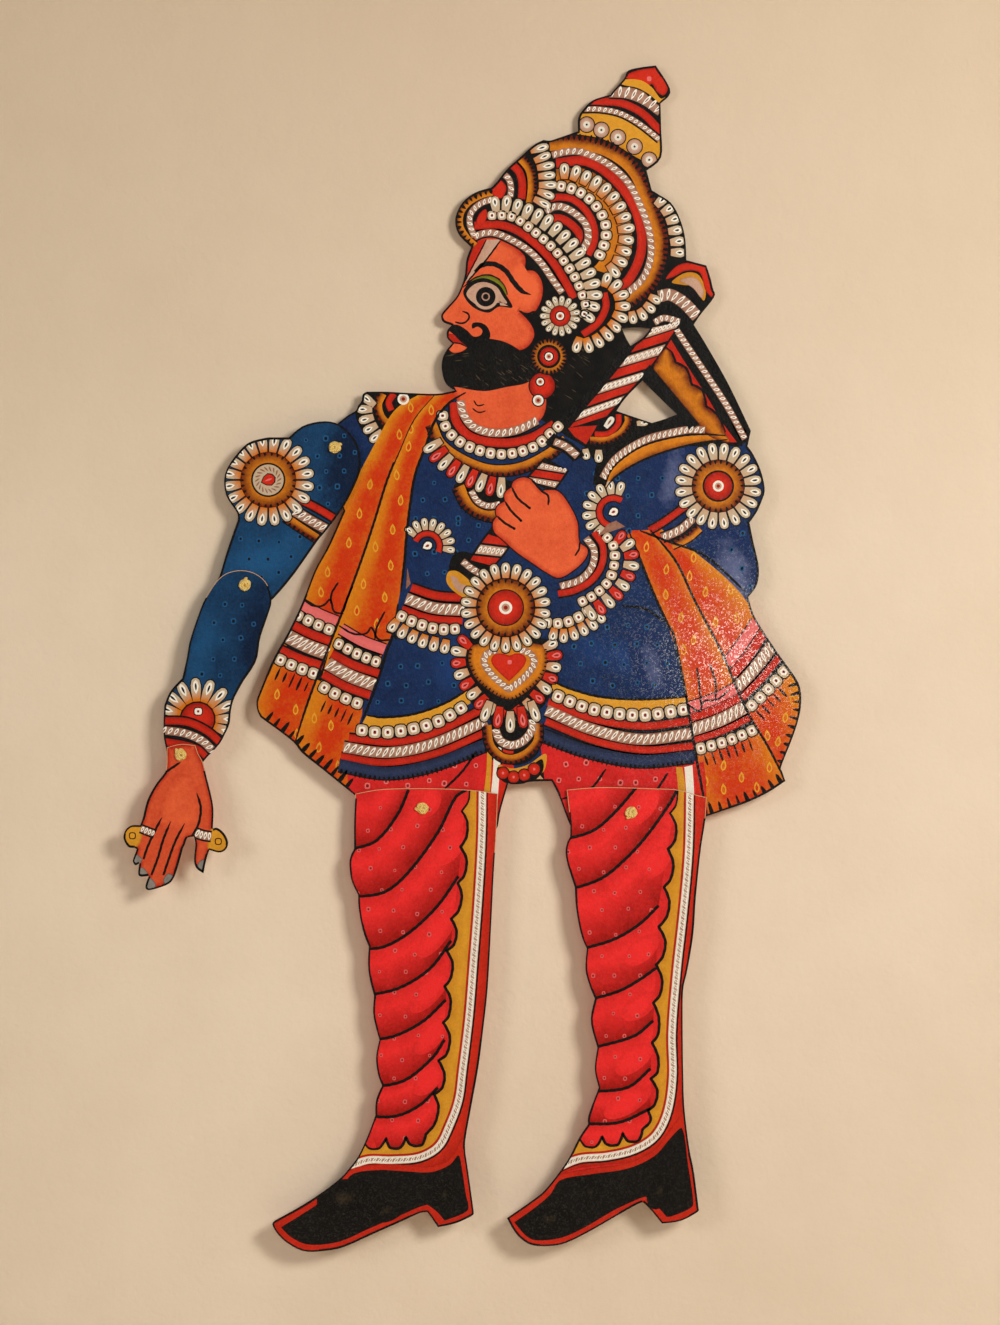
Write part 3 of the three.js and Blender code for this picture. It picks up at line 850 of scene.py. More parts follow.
# ---------------------------------------------------------------------------------------------
# Belt, skirt borders and the heart-shaped pendant: strings of beads and petals over striped bands.
for kind, points, width in (
        ("red", [(-67, -6), (-48, -12), (-25.5, -13.5)], 7.0),
        ("leaf", [(-71, -14), (-51, -21), (-27, -23)], 9.2),
        ("red", [(-74, -22), (-52.5, -29), (-28.5, -31)], 6.0),
        ("beads", [(-78, -25.5), (-66, -31.5), (-48, -37), (-30, -37)], 8.6)):
    row_of(art, kind, points, width)
petals(art, [(-84, -32), (-73.5, -39), (-57, -46.5), (-37.5, -51)], 10.5, 8.2, -1, base=-0.1, count=6)
art.line([(-86, -39), (-81, -40.5), (-78, -45)], 1.3)

art.fill("blue", [(-97, -78), (-88.5, -78), (-87, -106.5), (-107, -111)], 3, 0.42)
skirt_left = (
    [(-100.5, -102), (-88, -103.5), (-65, -101), (-42, -93), (-24, -82.5)],
    [(-106.5, -113), (-82.5, -114), (-52.5, -109), (-22.5, -93)],
    ("beads", [(-109, -112.5), (-90, -115), (-67.5, -112.5), (-46.5, -106.5), (-25.5, -94)], 9.4),
    ("red", [(-114, -119), (-80, -122), (-49.5, -115), (-13.5, -97.5)], 6.5),
    ("leaf", [(-118, -126), (-85, -130), (-52.5, -124), (-10.5, -106)], 8.6),
    ("red", [(-120, -133), (-86, -137.5), (-49.5, -131), (-9, -114)], 6.0),
    [(-121.5, -139.5), (-86, -145.5), (-52.5, -140), (-7.5, -123)],
    [(-121.5, -144), (-86, -150), (-52.5, -145), (-9, -128)])
skirt_right = (
    [(39, -76.5), (54, -82.5), (75, -88), (105, -90), (141, -88)],
    [(39, -86), (67.5, -94.5), (105, -100.5), (142.5, -97.5)],
    ("beads", [(39, -86), (67.5, -97), (105, -102), (142.5, -97)], 9.4),
    ("red", [(36, -92), (72, -105), (108, -110), (144, -106)], 6.5),
    ("leaf", [(34.5, -98), (67.5, -112), (105, -120), (145, -115.5)], 9.0),
    ("red", [(34, -106.5), (72, -121.5), (108, -128), (146, -125)], 6.0),
    [(31.5, -117), (65, -129), (105, -136.5), (145.5, -133)],
    [(31.5, -122), (65, -134), (105, -141), (145.5, -137)])
for top, below, *rows, hem, teeth in (skirt_left, skirt_right):
    art.between("ochre", top, below, (0.9, 0.6), 5)
    art.line(top, 1.6)
    for kind, points, width in rows:
        row_of(art, kind, points, width)
    art.band("hem", hem, 9.5, 6, (0.3, 0.9, 0.2))
    ticks(art, teeth, 3.6, 4.2, 1, 9, 2.0)


def ring_of_petals(art, centre, inner, outer, count, start=0.0, end=360.0, colours=("cream",),
                   base=0.35, coat=8):
    """Petals round a centre, from angle to angle."""
    radius = (inner + outer) / 2
    for k in range(count):
        turn = math.radians(start + (end - start) * (k + 0.5) / count)
        out = Vector((math.cos(turn), math.sin(turn)))
        wide = abs(math.radians(end - start)) * radius / count * 0.87
        petal(art, Vector(centre) + out * radius, out, wide, outer - inner, coat,
            colours[k % len(colours)], base)


def gear(art, centre, inner, outer, count, coat=7):
    """A gold ring with dark teeth along its outer edge."""
    art.disc("ink", centre, outer + 0.8, coat - 1, 0.3)
    art.disc("gold", centre, outer, coat, 0.95, 0.0)
    for k in range(count):
        turn = math.tau * (k + HAND.uniform(-0.1, 0.1)) / count
        out = Vector((math.cos(turn), math.sin(turn)))
        art.mark("ink", LEAF, Vector(centre) + out * (outer - 1.1), out, (2.0, 4.0), coat + 1, 0.3)
    art.disc("ink", centre, inner + 0.9, coat + 1, 0.3)


def eye_bead(art, centre, size, coat=10):
    art.disc("ink", centre, size + 0.9, coat - 1, 0.3)
    art.disc("white", centre, size, coat, 0.9)
    art.disc("rose", centre, size * 0.62, coat + 1, 0.9)
    art.disc("red", centre, size * 0.32, coat + 2, 0.3)


buckle = (4, -21)
ring_of_petals(art, buckle, 22.3, 33.8, 22, base=0.1, coat=13)
gear(art, buckle, 13, 21.5, 24)
art.disc("red", buckle, 13, 9, 0.95, 0.3)
eye_bead(art, buckle, 5, 10)

art.blob("ink", [(-28, -45), (36, -45), (45, -60), (36, -90), (23, -106.5), (30, -126), (19, -138),
    (-2, -138), (-12, -126), (-7.5, -106.5), (-22.5, -91.5), (-31.5, -66)], 5, 0.3)
heart_petals = [(-24, -43.5), (-31, -52.5), (-31.5, -63), (-28, -74), (-22, -83), (-15, -91.5), (-7, -98),
    (2, -103.5), (10, -103.5), (18, -98), (25.5, -91), (32, -83), (37, -76), (40, -66), (40.5, -56),
    (36, -45)]
petals(art, heart_petals, 11.5, 8.6, -1, ("red", "cream"), coat=8)
for place, out, colour in (
        ((-10.5, -99), (-0.35, -1), "cream"),
        ((-1.5, -103.5), (-0.15, -1), "red"),
        ((7.5, -107), (0, -1), "cream"),
        ((16.5, -103.5), (0.15, -1), "red"),
        ((25.5, -99), (0.35, -1), "cream")):
    petal(art, place, Vector(out).normalized(), 7.4, 16, 11, colour, 0.7)
art.blob("gold", [(-19.5, -49), (31, -49), (35, -61.5), (30, -75), (7, -90), (-16.5, -76.5), (-24, -60)],
    8, 0.9, 0.1, 4.0)
ticks(art, [(34, -51), (34.5, -63), (28.5, -75), (18, -84), (7, -90), (-6, -84), (-16.5, -75),
    (-23, -61.5), (-22, -51)], 3.2, 3.0, -1, 10, 1.2)
leaf_band(art, [(-2, -52.5), (-10.5, -56), (-12, -63), (-4.5, -73.5), (6.5, -82.5), (6.5, -82.5),
    (18, -73.5), (25.5, -63), (23, -56), (15, -52.5)], 5.5, 9, 4.0)
art.blob("red", [(6.5, -76.5), (6.5, -76.5), (-4.5, -66), (-7, -60), (-4, -56), (2, -55.5), (7, -57),
    (11, -55.5), (16.5, -56), (19.5, -60), (17, -66)], 10, 0.95, 0.4, 1.5)
art.mark("pink", BEAD, (7, -62), UP, (3.2, 3.4), 11, 1.0)
toothed(art, [(-10, -109.5), (-8, -124), (0, -133), (9, -135), (19.5, -131), (28, -121.5), (28.5, -108)],
    6.5, -1, 8)
leaf_band(art, [(-4, -112), (0, -121), (8, -124.5), (17, -121.5), (24, -112.5), (24, -105)], 6.5, 9, 4.2)
art.blob("ochre", [(-1.5, -139.5), (9, -142), (21, -139), (34, -131), (34, -141), (30, -146), (0, -146)],
    8, 0.6)
art.blob("ink", [(-2, -141), (15, -145.5), (31, -135), (32, -144), (22.5, -153), (9, -154.5), (0, -150)],
    9, 0.3)
for lobe in ((2, -145.5), (10, -148.5), (18, -147), (25.5, -142.5)):
    art.disc("ink", lobe, 5.2, 10, 0.3)
    art.disc("red", lobe, 4.4, 11, 0.9, 0.4)
    art.mark("pink", BEAD, lobe, UP, (1.8, 2.0), 12, 1.0)
art.fill("raw", [(22.5, -153), (28.5, -145.5), (34, -152)], 8, 0.8)

petals(art, [(36, -40.5), (49.5, -42), (64.5, -36), (78, -25.5)], 10.5, 8.2, -1, base=-0.1, count=6)
beads(art, [(31, -31.5), (42, -33), (55.5, -30), (69, -21)], 8.2)
art.line([(91.5, -19.5), (109, -22), (123, -31.5)], 1.4)

# ---------------------------------------------------------------------------------------------
# Necklace and chest ornaments: collar bands, a bead string, a toothed gold band and pendants.
art.blob("skin", [(-36, 150), (-12, 145.5), (22.5, 153), (34, 138), (31, 121.5), (15, 114), (-6, 112),
    (-21, 117), (-29, 127.5)], 5, 0.75, 0.25, 3.5)
art.blob("ink", [(-41, 147), (-33, 145), (-12, 142), (4.5, 145), (20.5, 148.5), (30, 157.5), (0, 180),
    (-45, 176)], 6, 0.5)
for crease in ([(-20, 135), (-17, 131), (-12, 132)], [(-21, 129), (-16.5, 126), (-11, 127)]):
    art.line(crease, 0.9)
leaf_band(art, [(-30, 135), (-28, 125), (-20, 115), (-4.5, 110.5), (12, 112.5), (28, 120)], 6.6)
red_band(art, [(-35, 133.5), (-33, 119), (-21, 107), (4, 103), (23.5, 107), (40.5, 117)], 7.4)
beads(art, [(-44, 127.5), (-42, 117), (-34, 106.5), (-18, 98), (3, 94.5), (26, 100.5), (46.5, 118)], 8.2)
toothed(art, [(-52, 117), (-45, 102), (-28.5, 90), (-7.5, 82.5), (15, 84), (36, 94), (49.5, 105)], 8.0, -1)
petals(art, [(-53, 104), (-45, 92), (-36, 84), (-22.5, 76.5), (-7.5, 70.5), (4.5, 69)], 15, 8.4, -1,
    ("cream", "red"), 0.8, 11, count=9)
art.blob("ink", [(-34, 72), (15, 72), (11, 45), (-15, 45), (-28.5, 56)], 5, 0.3)
toothed(art, [(-31.5, 70), (-26, 58.5), (-16.5, 51), (-4, 48), (9, 51)], 9.0, -1, 6)
leaf_band(art, [(-22, 67), (-17, 59), (-9, 55.5), (0, 57)], 5.0, 9, 4.1)
for centre, start, end, reach in (((-55, 25.5), -20, 150, 1.0), ((85, 51), 62, 245, 1.12)):
    ring_of_petals(art, centre, 12 * reach, 21 * reach, 8, start, end, base=0.8)
    art.band("red", arc(centre, 9.5 * reach, start - 8, end + 8), 4.5, 6)
    art.mark("ink", LEAF, centre, Vector((1, 0.5)).normalized(), (9, 10), 7, 0.3)
    art.mark("white", LEAF, centre, Vector((1, 0.5)).normalized(), (6, 7.5), 8, 0.9)
    art.mark("red", LEAF, centre, Vector((1, 0.5)).normalized(), (2, 3.2), 9, 0.2)
art.fill("rose", [(73.5, 33), (81, 42), (87, 44.5), (94, 40)], 11, 0.2)
art.fill("rose", [(-70, 9), (-67.5, -3), (-71, -7)], 5, 0.1)

# Left shoulder piece, half hidden by the sash
art.blob("ink", [(-102, 142.5), (-60, 142), (-75, 126), (-87, 108), (-97.5, 105), (-109, 124)], 4, 0.3)
petals(art, [(-97, 138), (-102, 130.5), (-101, 121.5), (-97, 112.5), (-91, 105)], 12, 8.0, -1, base=0.8)
toothed(art, [(-88.5, 140), (-92, 132), (-90, 123), (-84, 116)], 6.0, -1)
red_band(art, [(-80, 140), (-84, 133.5), (-82, 127.5)], 5.5)
eye_bead(art, (-73, 136), 4.4)
art.between("orange", [(-58.5, 141), (-79, 128), (-93, 105), (-100.5, 90)], [(-49.5, 139.5), (-65, 121),
    (-77, 95), (-80, 88.5)], (1.0, 0.6, 0.15, 0.0, 0.2), 10)
drops(art, [(-67.5, 130), (-76, 109.5)], 11)

# ---------------------------------------------------------------------------------------------
# Face, in the painters' flat profile: skin dye, darker at its borders, then the eye, brow, curled
# moustache and beard in ink.
art.blob("skin", [(-52.5, 261), (-22.5, 258), (0, 256.5), (18, 244), (18, 232.5), (18, 232.5), (26, 232),
    (31.5, 223), (31, 211.5), (25, 201), (17, 200), (13, 203), (13, 203), (22.5, 193), (25.5, 184),
    (20, 175), (10, 172.5), (1.5, 178), (1.5, 178), (2, 171), (-4, 165), (-12, 164), (-19.5, 171),
    (-24, 175.5), (-24, 175.5), (-45, 172.5), (-56, 184), (-52.5, 225)], 4, 0.8, 0.12, 4.5)
art.blob("skin", [(15, 238.5), (21, 231), (28.5, 222), (27, 211.5), (19.5, 204), (7.5, 210), (4, 225)], 5,
    1.0, 0.8, 3.0)
art.strip("red", [on([(-19.5, 255), (-24, 243), (-28.5, 222)]),
    on([(-10, 256.5), (-18, 241.5), (-28, 223)])], (0.6, 0.8), 6)
art.strip("rose", [on([(-10, 256), (-17, 241.5), (-27, 223.5)]), on([(0, 256), (-12, 240), (-25.5, 224)])],
    (0.9, 1.0), 6)
art.line([(-10.5, 256), (-18, 241.5), (-28, 222)], 0.9)
art.line([(0, 255), (-12, 239), (-25.5, 223.5)], 1.1)
eye = (-11, 213)
art.band("olive", arc(eye, 13.6, 4, 174), 4.6, 7, (0.2, 0.9, 0.5), 0.8)
art.blob("ink", [(-28, 216), (-22.5, 224), (-12, 227), (-1, 222), (4.5, 214), (9, 205), (-1, 205.5),
    (-9, 201), (-21, 205.5)], 8, 0.3)
art.blob("rose", [(-25.5, 215), (-20, 222), (-12, 224), (-3, 220.5), (2, 213), (5, 208), (-2, 208.5),
    (-9, 204), (-19.5, 208)], 9, 0.9)
for colour, radius, coat, shade in (
        ("ink", 10.6, 9.5, 0.3),
        ("rose", 9.6, 10, 1.0),
        ("ink", 7.4, 11, 0.3),
        ("rose", 3.2, 12, 0.7),
        ("ink", 2.2, 13, 0.3)):
    art.disc(colour, eye, radius, coat, shade)
art.fill("rose", [(-1, 210), (6, 206), (0, 206.5)], 9, 1.0)
art.line([(-19.5, 232), (-13, 237), (-4.5, 237.5), (4, 232.5), (10, 224), (16.5, 217), (23, 214.5)], 3.1,
    9, tips=(0.35, 0.15))
art.line([(-28, 220), (-19.5, 227), (-9, 229.5), (0, 226)], 0.9)
art.line([(-34, 194), (-28.5, 193), (-24, 196), (-24, 200), (-28.5, 202)], 1.2)
art.line([(-44, 199), (-39, 205.5), (-33, 213)], 0.8)
art.line([(14, 202.5), (19.5, 200), (26, 202)], 1.3)
art.blob("ink", [(-40.5, 190), (-33, 192), (-25.5, 188), (-20, 183), (-15, 184), (-13.5, 187.5),
    (-17, 190.5), (-21, 189), (-21, 193), (-15, 193.5), (-10, 190.5), (-7.5, 184), (-10.5, 178),
    (-18, 174), (-27, 177), (-34.5, 184)], 9, 0.3)
art.blob("red", [(-42, 184.5), (-36, 185), (-28.5, 181), (-22.5, 176), (-31.5, 177), (-40.5, 179)], 7, 0.6)
art.blob("skin", [(-40.5, 177), (-33, 178), (-25, 175.5), (-28.5, 172), (-36, 171)], 8, 0.9, 0.5, 1.0)
art.line([(-40.5, 178), (-31.5, 178), (-22.5, 174)], 0.9)
# Short strokes round the bare patch under the mouth, then loose hairs over the beard
chin, strokes, hairs = Vector((-10, 171)), 34, 150
for k in range(strokes):
    turn = math.radians(200 + 150 * k / (strokes - 1))
    place = chin + Vector((math.cos(turn) * 11, math.sin(turn) * 7.5))
    art.mark("ink", LEAF, place, Vector((math.cos(turn), math.sin(turn))), (0.7, 3.4), 8, 0.3)
beard = [(-40.5, 175.5), (-15, 171), (15, 171), (45, 180), (79.5, 187.5), (75, 172.5), (54, 135),
    (36, 127.5), (15, 150), (-12, 143), (-33, 145.5), (-43.5, 157.5)]
for k in range(hairs):
    place = Vector((-42, 176)) + Vector((HAND.uniform(0, 122), -HAND.uniform(0, 66)))
    if inside(place, beard):
        lean = Vector((0.8 + HAND.uniform(-0.3, 0.3), -0.6 if place.x > -20 else 0.1)).normalized()
        art.mark("umber", LEAF, place, lean, (0.6, HAND.uniform(4, 8)), 7, HAND.uniform(0.3, 0.9))

# Ear jewels: a rose, a toothed drop and two hanging beads
ear_rose, ear_drop = (45, 198.5), (36.5, 168)
ring_of_petals(art, ear_rose, 8.0, 15.2, 15, base=0.95, coat=13)
art.disc("ink", ear_rose, 8.4, 13, 0.3)
art.disc("red", ear_rose, 7.5, 14, 0.9, 0.3)
eye_bead(art, ear_rose, 3.0, 16)
gear(art, ear_drop, 8.0, 13.2, 26, 12)
art.disc("red", ear_drop, 7.0, 14, 0.9, 0.3)
eye_bead(art, ear_drop, 3.0, 16)
art.disc("ink", (31.5, 146), 10.4, 9, 0.3)
art.disc("red", (31.5, 146), 9.6, 10, 0.9, 0.2)
eye_bead(art, (30, 149), 2.8, 12)
eye_bead(art, (28.5, 135), 4.0, 12)

# ---------------------------------------------------------------------------------------------
# Crown: concentric strings of beads and petals over red and gold arcs, with a tiered knop on top.
leaf_band(art, [(-19.5, 258), (-13.5, 260.5), (-4.5, 261), (8, 256), (21, 248), (31, 238), (39, 226.5),
    (46.5, 216)], 5.4, 10)
red_band(art, [(-19.5, 266.5), (0, 267), (14, 262), (28.5, 251), (40, 238.5), (49, 224), (55.5, 212)], 6.8,
    10)
beads(art, [(-10, 274), (6.5, 274), (16.5, 269), (25, 262.5), (34, 255), (41, 248), (47, 241),
    (52.5, 233.5), (57.5, 225), (61.5, 215), (64.5, 205.5), (62, 196.5)], 7.4, 12)
petals(art, [(-8, 282), (3, 283), (11.5, 281), (19, 278), (27, 274), (35, 269), (42, 263.5), (48, 257.5),
    (54, 251), (58.5, 244.5), (62, 238.5), (66, 231), (69, 223), (70.5, 214), (68, 203), (63, 195)], 12.4,
    8.3, 1, base=0.85, coat=12)
curl = on([(-5, 292.5), (-15, 290), (-25, 284), (-30.5, 276), (-31, 266), (-25.5, 256.5), (-19.5, 251)])
toothed(art, curl, 6.4, -1, 10, 3.0)
ticks(art, curl, 4.0, 4.8, -1, 13, 2.2)
leaf_band(art, [(-6, 286.5), (-15, 283), (-22, 276), (-23, 268), (-19.5, 258)], 4.8, 11, 4.1)
art.blob("red", [(-11, 279), (-16, 275), (-18, 268.5), (-15, 265.5), (-10, 273)], 11, 0.8, 0.4, 1.0)
art.blob("red", [(-1, 301.5), (4.5, 295.5), (2, 288), (-2, 287), (-7, 292), (-5, 298.5)], 12, 0.9, 0.3, 1.5)
leaf_band(art, [(0, 307), (6, 302), (8, 295.5), (7.5, 288)], 5.0, 11, 4.1)
red_band(art, [(7.5, 313.5), (14, 307), (16.5, 298), (16, 286.5)], 6.6, 10)
toothed(art, [(14, 319), (22, 309), (24, 297), (22.5, 282)], 6.6, 1, 10, 3.0)
petals(art, [(28.5, 328), (31, 319.5), (34, 312), (35, 304), (36, 296), (34, 289), (30, 280.5)], 13.5, 7.6,
    1, base=0.1, coat=12)

toothed(art, [(37, 328), (56, 329), (77, 325), (93, 316), (103, 305), (111, 286.5), (116, 274), (121, 256),
    (119, 239), (112.5, 223), (96, 209)], 10.5, 1, 8)
leaf_band(art, [(39, 319.5), (49, 322), (60.5, 322), (80, 313.5), (96, 299), (106, 280), (112.5, 260),
    (113, 242), (107, 226.5), (96, 216)], 5.6, 9)
red_band(art, [(42, 313.5), (64, 315), (83, 304), (99, 284), (106, 262.5), (105, 243), (96, 225),
    (88.5, 220.5)], 8.0, 8)
art.between("gold", [(42, 309), (64, 309), (82.5, 297), (94.5, 280.5), (99, 261), (97.5, 243), (88, 228)],
    [(42, 292.5), (60, 292.5), (73.5, 280.5), (79.5, 265.5), (79.5, 250.5), (73.5, 238.5), (69, 234)],
    (0.3, 0.9), 7)
petals(art, [(44, 307.5), (53, 307), (62, 303.5), (70.5, 299), (78, 293.5), (84.5, 287), (89, 280),
    (93, 271.5), (95, 262.5), (94.5, 253.5), (92, 244.5), (88, 235.5), (82, 230)], 12.0, 8.8, 1, base=0.0,
    coat=12)
beads(art, [(42, 297), (56, 293.5), (67, 286.5), (75, 277), (79, 268), (79.5, 258), (77, 249), (73, 241)],
    8.2, 12)
red_band(art, [(37.5, 287), (45, 288), (55, 286), (65, 277), (70.5, 265.5), (70.5, 254), (66, 244.5)], 6.0,
    9)
leaf_band(art, [(34, 277), (40, 280.5), (47, 280.5), (57, 275), (64.5, 267), (66, 256.5), (62, 248)], 5.8,
    10)
red_band(art, [(37.5, 272), (46.5, 271.5), (55, 266), (60, 259), (60, 252)], 7.0, 8)
petals(art, [(118, 288), (125, 280), (130, 271), (132, 261), (133.5, 252), (133.5, 242)], 10.5, 8.2, 1,
    base=0.55, coat=12)
petals(art, [(76, 227), (83, 224), (89, 218), (92, 210), (91.5, 201), (87, 192), (80, 184.5), (72, 179),
    (63, 176), (54, 178)], 11.5, 8.2, 1, base=-0.15, coat=12)
petals(art, [(96, 196.5), (106.5, 199.5), (113, 205.5), (118, 214.5)], 9.8, 7.0, -1, base=0.1, coat=12)
red_band(art, [(78, 216), (79.5, 205.5), (73.5, 193.5), (62, 184.5)], 6.0, 10)

art.blob("ochre", [(58, 352.5), (75, 352.5), (97.5, 346.5), (124, 326), (123, 309), (105, 316.5),
    (84, 328.5), (57, 336)], 6, 0.75, 0.3, 3.0)
for pearl in ((65, 342.5), (76, 338.5), (88.5, 333), (101, 326), (112, 316)):
    art.disc("ink", pearl, 6.4, 7, 0.3)
    art.disc("rose", pearl, 5.6, 8, 1.1, 0.5)
    art.disc("white", pearl, 2.7, 9, 0.3)
    art.disc("ink", pearl, 0.8, 10, 0.2)
leaf_band(art, [(60, 354), (75, 354), (90, 351), (104, 343.5), (120, 331)], 4.3, 10, 4.1)
red_band(art, [(66, 358.5), (76.5, 360), (91.5, 358.5), (107, 351), (121, 337)], 6.6, 8)
leaf_band(art, [(82, 367.5), (96, 366.5), (109, 361.5), (121, 353)], 9.4, 10, 5.6, 0.2)
art.blob("ink", [(88.5, 381), (120, 390), (131, 367.5), (120, 357), (105, 369), (88.5, 372)], 11, 0.3)
art.blob("ochre", [(91, 376), (105, 376), (114, 370.5), (121, 362), (126, 364.5), (121.5, 358),
    (112.5, 365), (103.5, 370), (91, 373)], 13, 0.8)
art.blob("red", [(94, 378), (99, 382), (116, 385.5), (121.5, 380), (126, 370), (123, 364.5), (118, 367),
    (114, 373), (109, 370), (105, 374), (99, 376)], 12, 0.9, 0.35, 2.0)
art.mark("pink", BEAD, (112, 377), UP, (3.4, 3.6), 14, 1.0)

# ---------------------------------------------------------------------------------------------
# Axe: a striped shaft under a red cap and a black blade with a scalloped gold field.
art.fill("ink", [(105, 210), (153, 238.5), (163.5, 213), (150, 195), (192, 108), (180, 100.5),
    (142.5, 100.5), (105, 97.5), (84, 88.5), (75, 84), (63, 100.5), (49.5, 108), (39, 117), (75, 150),
    (105, 196.5)], 5, 0.3)


def striped_shaft(art, left, right, count, slant, first="leaf"):
    """Slanting turns of red and of leaf-marked white up a tapering shaft."""
    left, right, steps = on(left), on(right), 60
    a = [p for p, _ in along(left, [length_of(left) * k / steps for k in range(steps + 1)])]
    b = [p for p, _ in along(right, [length_of(right) * k / steps for k in range(steps + 1)])]
    art.strip("ink", [offset(a, -1.0), offset(b, 1.0)], (0.3, 0.3), 9)
    for k in range(count):
        start, end = (k - slant) / count, (k + 1 - slant) / count
        spans = ((start + slant * 2 / count, end + slant * 2 / count), (start, end))
        edges = []
        for rail, (low_end, high_end) in zip((a, b), spans):
            picks = [round(steps * (low_end + (high_end - low_end) * t)) for t in (0.09, 0.35, 0.65, 0.91)]
            edges.append([rail[min(steps, max(0, i))] for i in picks])
        if (edges[0][0] - edges[0][-1]).length < 1.5 or (edges[1][0] - edges[1][-1]).length < 1.5:
            continue
        leafy = (k % 2 == 0) == (first == "leaf")
        rails = [[p.lerp(q, t) for p, q in zip(*edges)] for t in (0.03, 0.5, 0.97)]
        art.strip("rose" if leafy else "red", rails, (0.7, 1.0, 0.7) if leafy else (0.5, 0.95, 0.5), 10)
        if leafy:
            long = (rails[1][0] - rails[1][-1]).length
            centres = [rail[1].lerp(rail[2], 0.5) for rail in (rails[0], rails[2])]
            run = centres[1] - centres[0]
            number = max(2, round(run.length / 3.6))
            for n in range(number):
                place = centres[0] + run * ((n + 0.5) / number)
                out = (rails[1][0] - rails[1][-1]).normalized()
                art.mark("white", LEAF, place, out, (2.4, long * 0.72), 12, 0.95)
                art.mark("rose", LEAF, place, out, (0.8, long * 0.36), 13, 0.0)


striped_shaft(art, [(116, 196), (100.5, 175), (85, 155), (67.5, 134), (51, 114)],
    [(136, 194), (127.5, 181), (118, 166.5), (106, 151.5), (93, 137), (75, 117)], 8, 0.55)
striped_shaft(art, [(34, 91.5), (27, 84), (19, 75)], [(51, 82.5), (45, 73.5), (39, 66)], 3, 0.5)
striped_shaft(art, [(-6, 39), (-14, 28.5), (-23, 15)], [(9, 28.5), (1.5, 18), (-9, 6)], 3, 0.5, "red")
art.band("ink", [(37, 107), (40.5, 104), (49, 100.5), (58, 93), (59, 91)], 10, 10, (0.3, 0.3), 0)
leaf_band(art, [(40.5, 104), (49, 100.5), (58, 93)], 6.0, 12)
art.blob("ink", [(-36, 18), (-25.5, 21), (-4.5, 9), (0, -3), (-12, -7.5), (-37.5, 0)], 6, 0.3)
leaf_band(art, [(-28.5, 14), (-21, 8), (-10, 2)], 5.4, 8)
art.blob("ochre", [(-39, 6), (-31.5, 6), (-19.5, -6), (-22.5, -15), (-34.5, -9), (-40.5, -1.5)], 7, 0.6)
art.blob("rose", [(-37.5, 3), (-33, 1.5), (-30, -3), (-25.5, -4.5), (-25.5, -10.5), (-33, -7.5)], 8, 0.8)

leaf_band(art, [(119, 213), (127.5, 214.5), (138, 208.5), (148, 198)], 9.5, 10, 5.0, 0.2)
leaf_band(art, [(116, 193.5), (123, 197), (135, 194)], 5.0, 12, 4.0, 0.2)
art.blob("red", [(124.5, 226.5), (132, 235.5), (141, 238.5), (154.5, 235.5), (160, 219), (160.5, 212),
    (154.5, 217.5), (150, 231), (139.5, 232.5), (130.5, 228)], 10, 0.85, 0.3, 1.5)
art.blob("ochre", [(129, 224), (139.5, 231), (149, 229.5), (154.5, 217.5), (153, 210), (145.5, 220.5),
    (136.5, 222)], 9, 0.4)
art.blob("rose", [(135, 225), (142.5, 228), (148.5, 226), (153, 217.5), (151.5, 212), (145.5, 219),
    (141, 222)], 11, 0.9, 0.5, 1.0)

leaf_band(art, [(132, 189), (142.5, 173), (156, 153), (171, 130), (184, 106)], 5.0, 8, 4.1)
art.between("red", [(128, 181.5), (138, 165), (154.5, 139.5), (167, 118.5), (178, 103.5)],
    [(123, 171), (135, 156), (150, 132), (159, 116), (170, 103.5)], (0.6, 0.9), 8)
art.blob("gold", [(118.5, 166.5), (124.5, 174), (129, 169), (132, 163.5), (141, 157.5), (144, 147),
    (153, 141), (154.5, 130.5), (163.5, 123), (168, 112.5), (172.5, 104), (159, 107), (150, 115.5),
    (132, 137), (115.5, 157.5)], 9, 0.75, 0.0, 8.0)
art.line([(124, 175.5), (129, 171), (132, 163.5), (132, 163.5), (140, 159), (144, 147), (144, 147),
    (152, 142.5), (155, 130.5), (155, 130.5), (163.5, 124), (169.5, 111)], 1.5, 11)
art.fill("ink", [(106, 155), (112.5, 162), (150, 117), (142.5, 112.5)], 11, 0.3)
art.band("ink", [(184, 107), (150, 117), (126, 114), (106, 107), (90, 97.5), (79.5, 85.5), (76.5, 70.5)],
    14, 7, (0.3, 0.3), 0)
leaf_band(art, [(154, 112.5), (142.5, 113), (126, 110), (111, 106), (96, 98), (85, 89), (77, 76.5)], 6.0,
    9, 4.1)
art.between("gold", [(170, 108), (150, 109), (129, 106.5), (108, 100.5), (93, 91.5), (83, 81), (79, 70.5)],
    [(172, 105), (150, 103), (129, 98), (109.5, 91), (96, 84), (85.5, 76.5), (79.5, 69)], (0.95, 0.8, 0.1),
    8)
art.line([(171, 105.5), (150, 103), (129, 98), (109.5, 91), (96, 84), (85.5, 76.5), (79.5, 69)], 1.3, 10)
art.line([(169.5, 108.5), (150, 109.5), (129, 107), (108, 101), (93, 92), (83, 82), (79, 71)], 1.3, 10)
toothed(art, [(67.5, 105), (79.5, 105), (90, 110), (96, 118.5), (96, 124)], 5.2, -1, 7, 3.6)
red_band(art, [(71, 109.5), (81, 110), (88.5, 117), (89, 124.5)], 4.8, 8)
art.mark("white", PETAL, (82, 118.5), Vector((0.6, 0.8)).normalized(), (5.2, 9.5), 9, 0.5)
art.mark("rose", LEAF, (82, 118.5), Vector((0.6, 0.8)).normalized(), (1.4, 5), 10, 0.0)
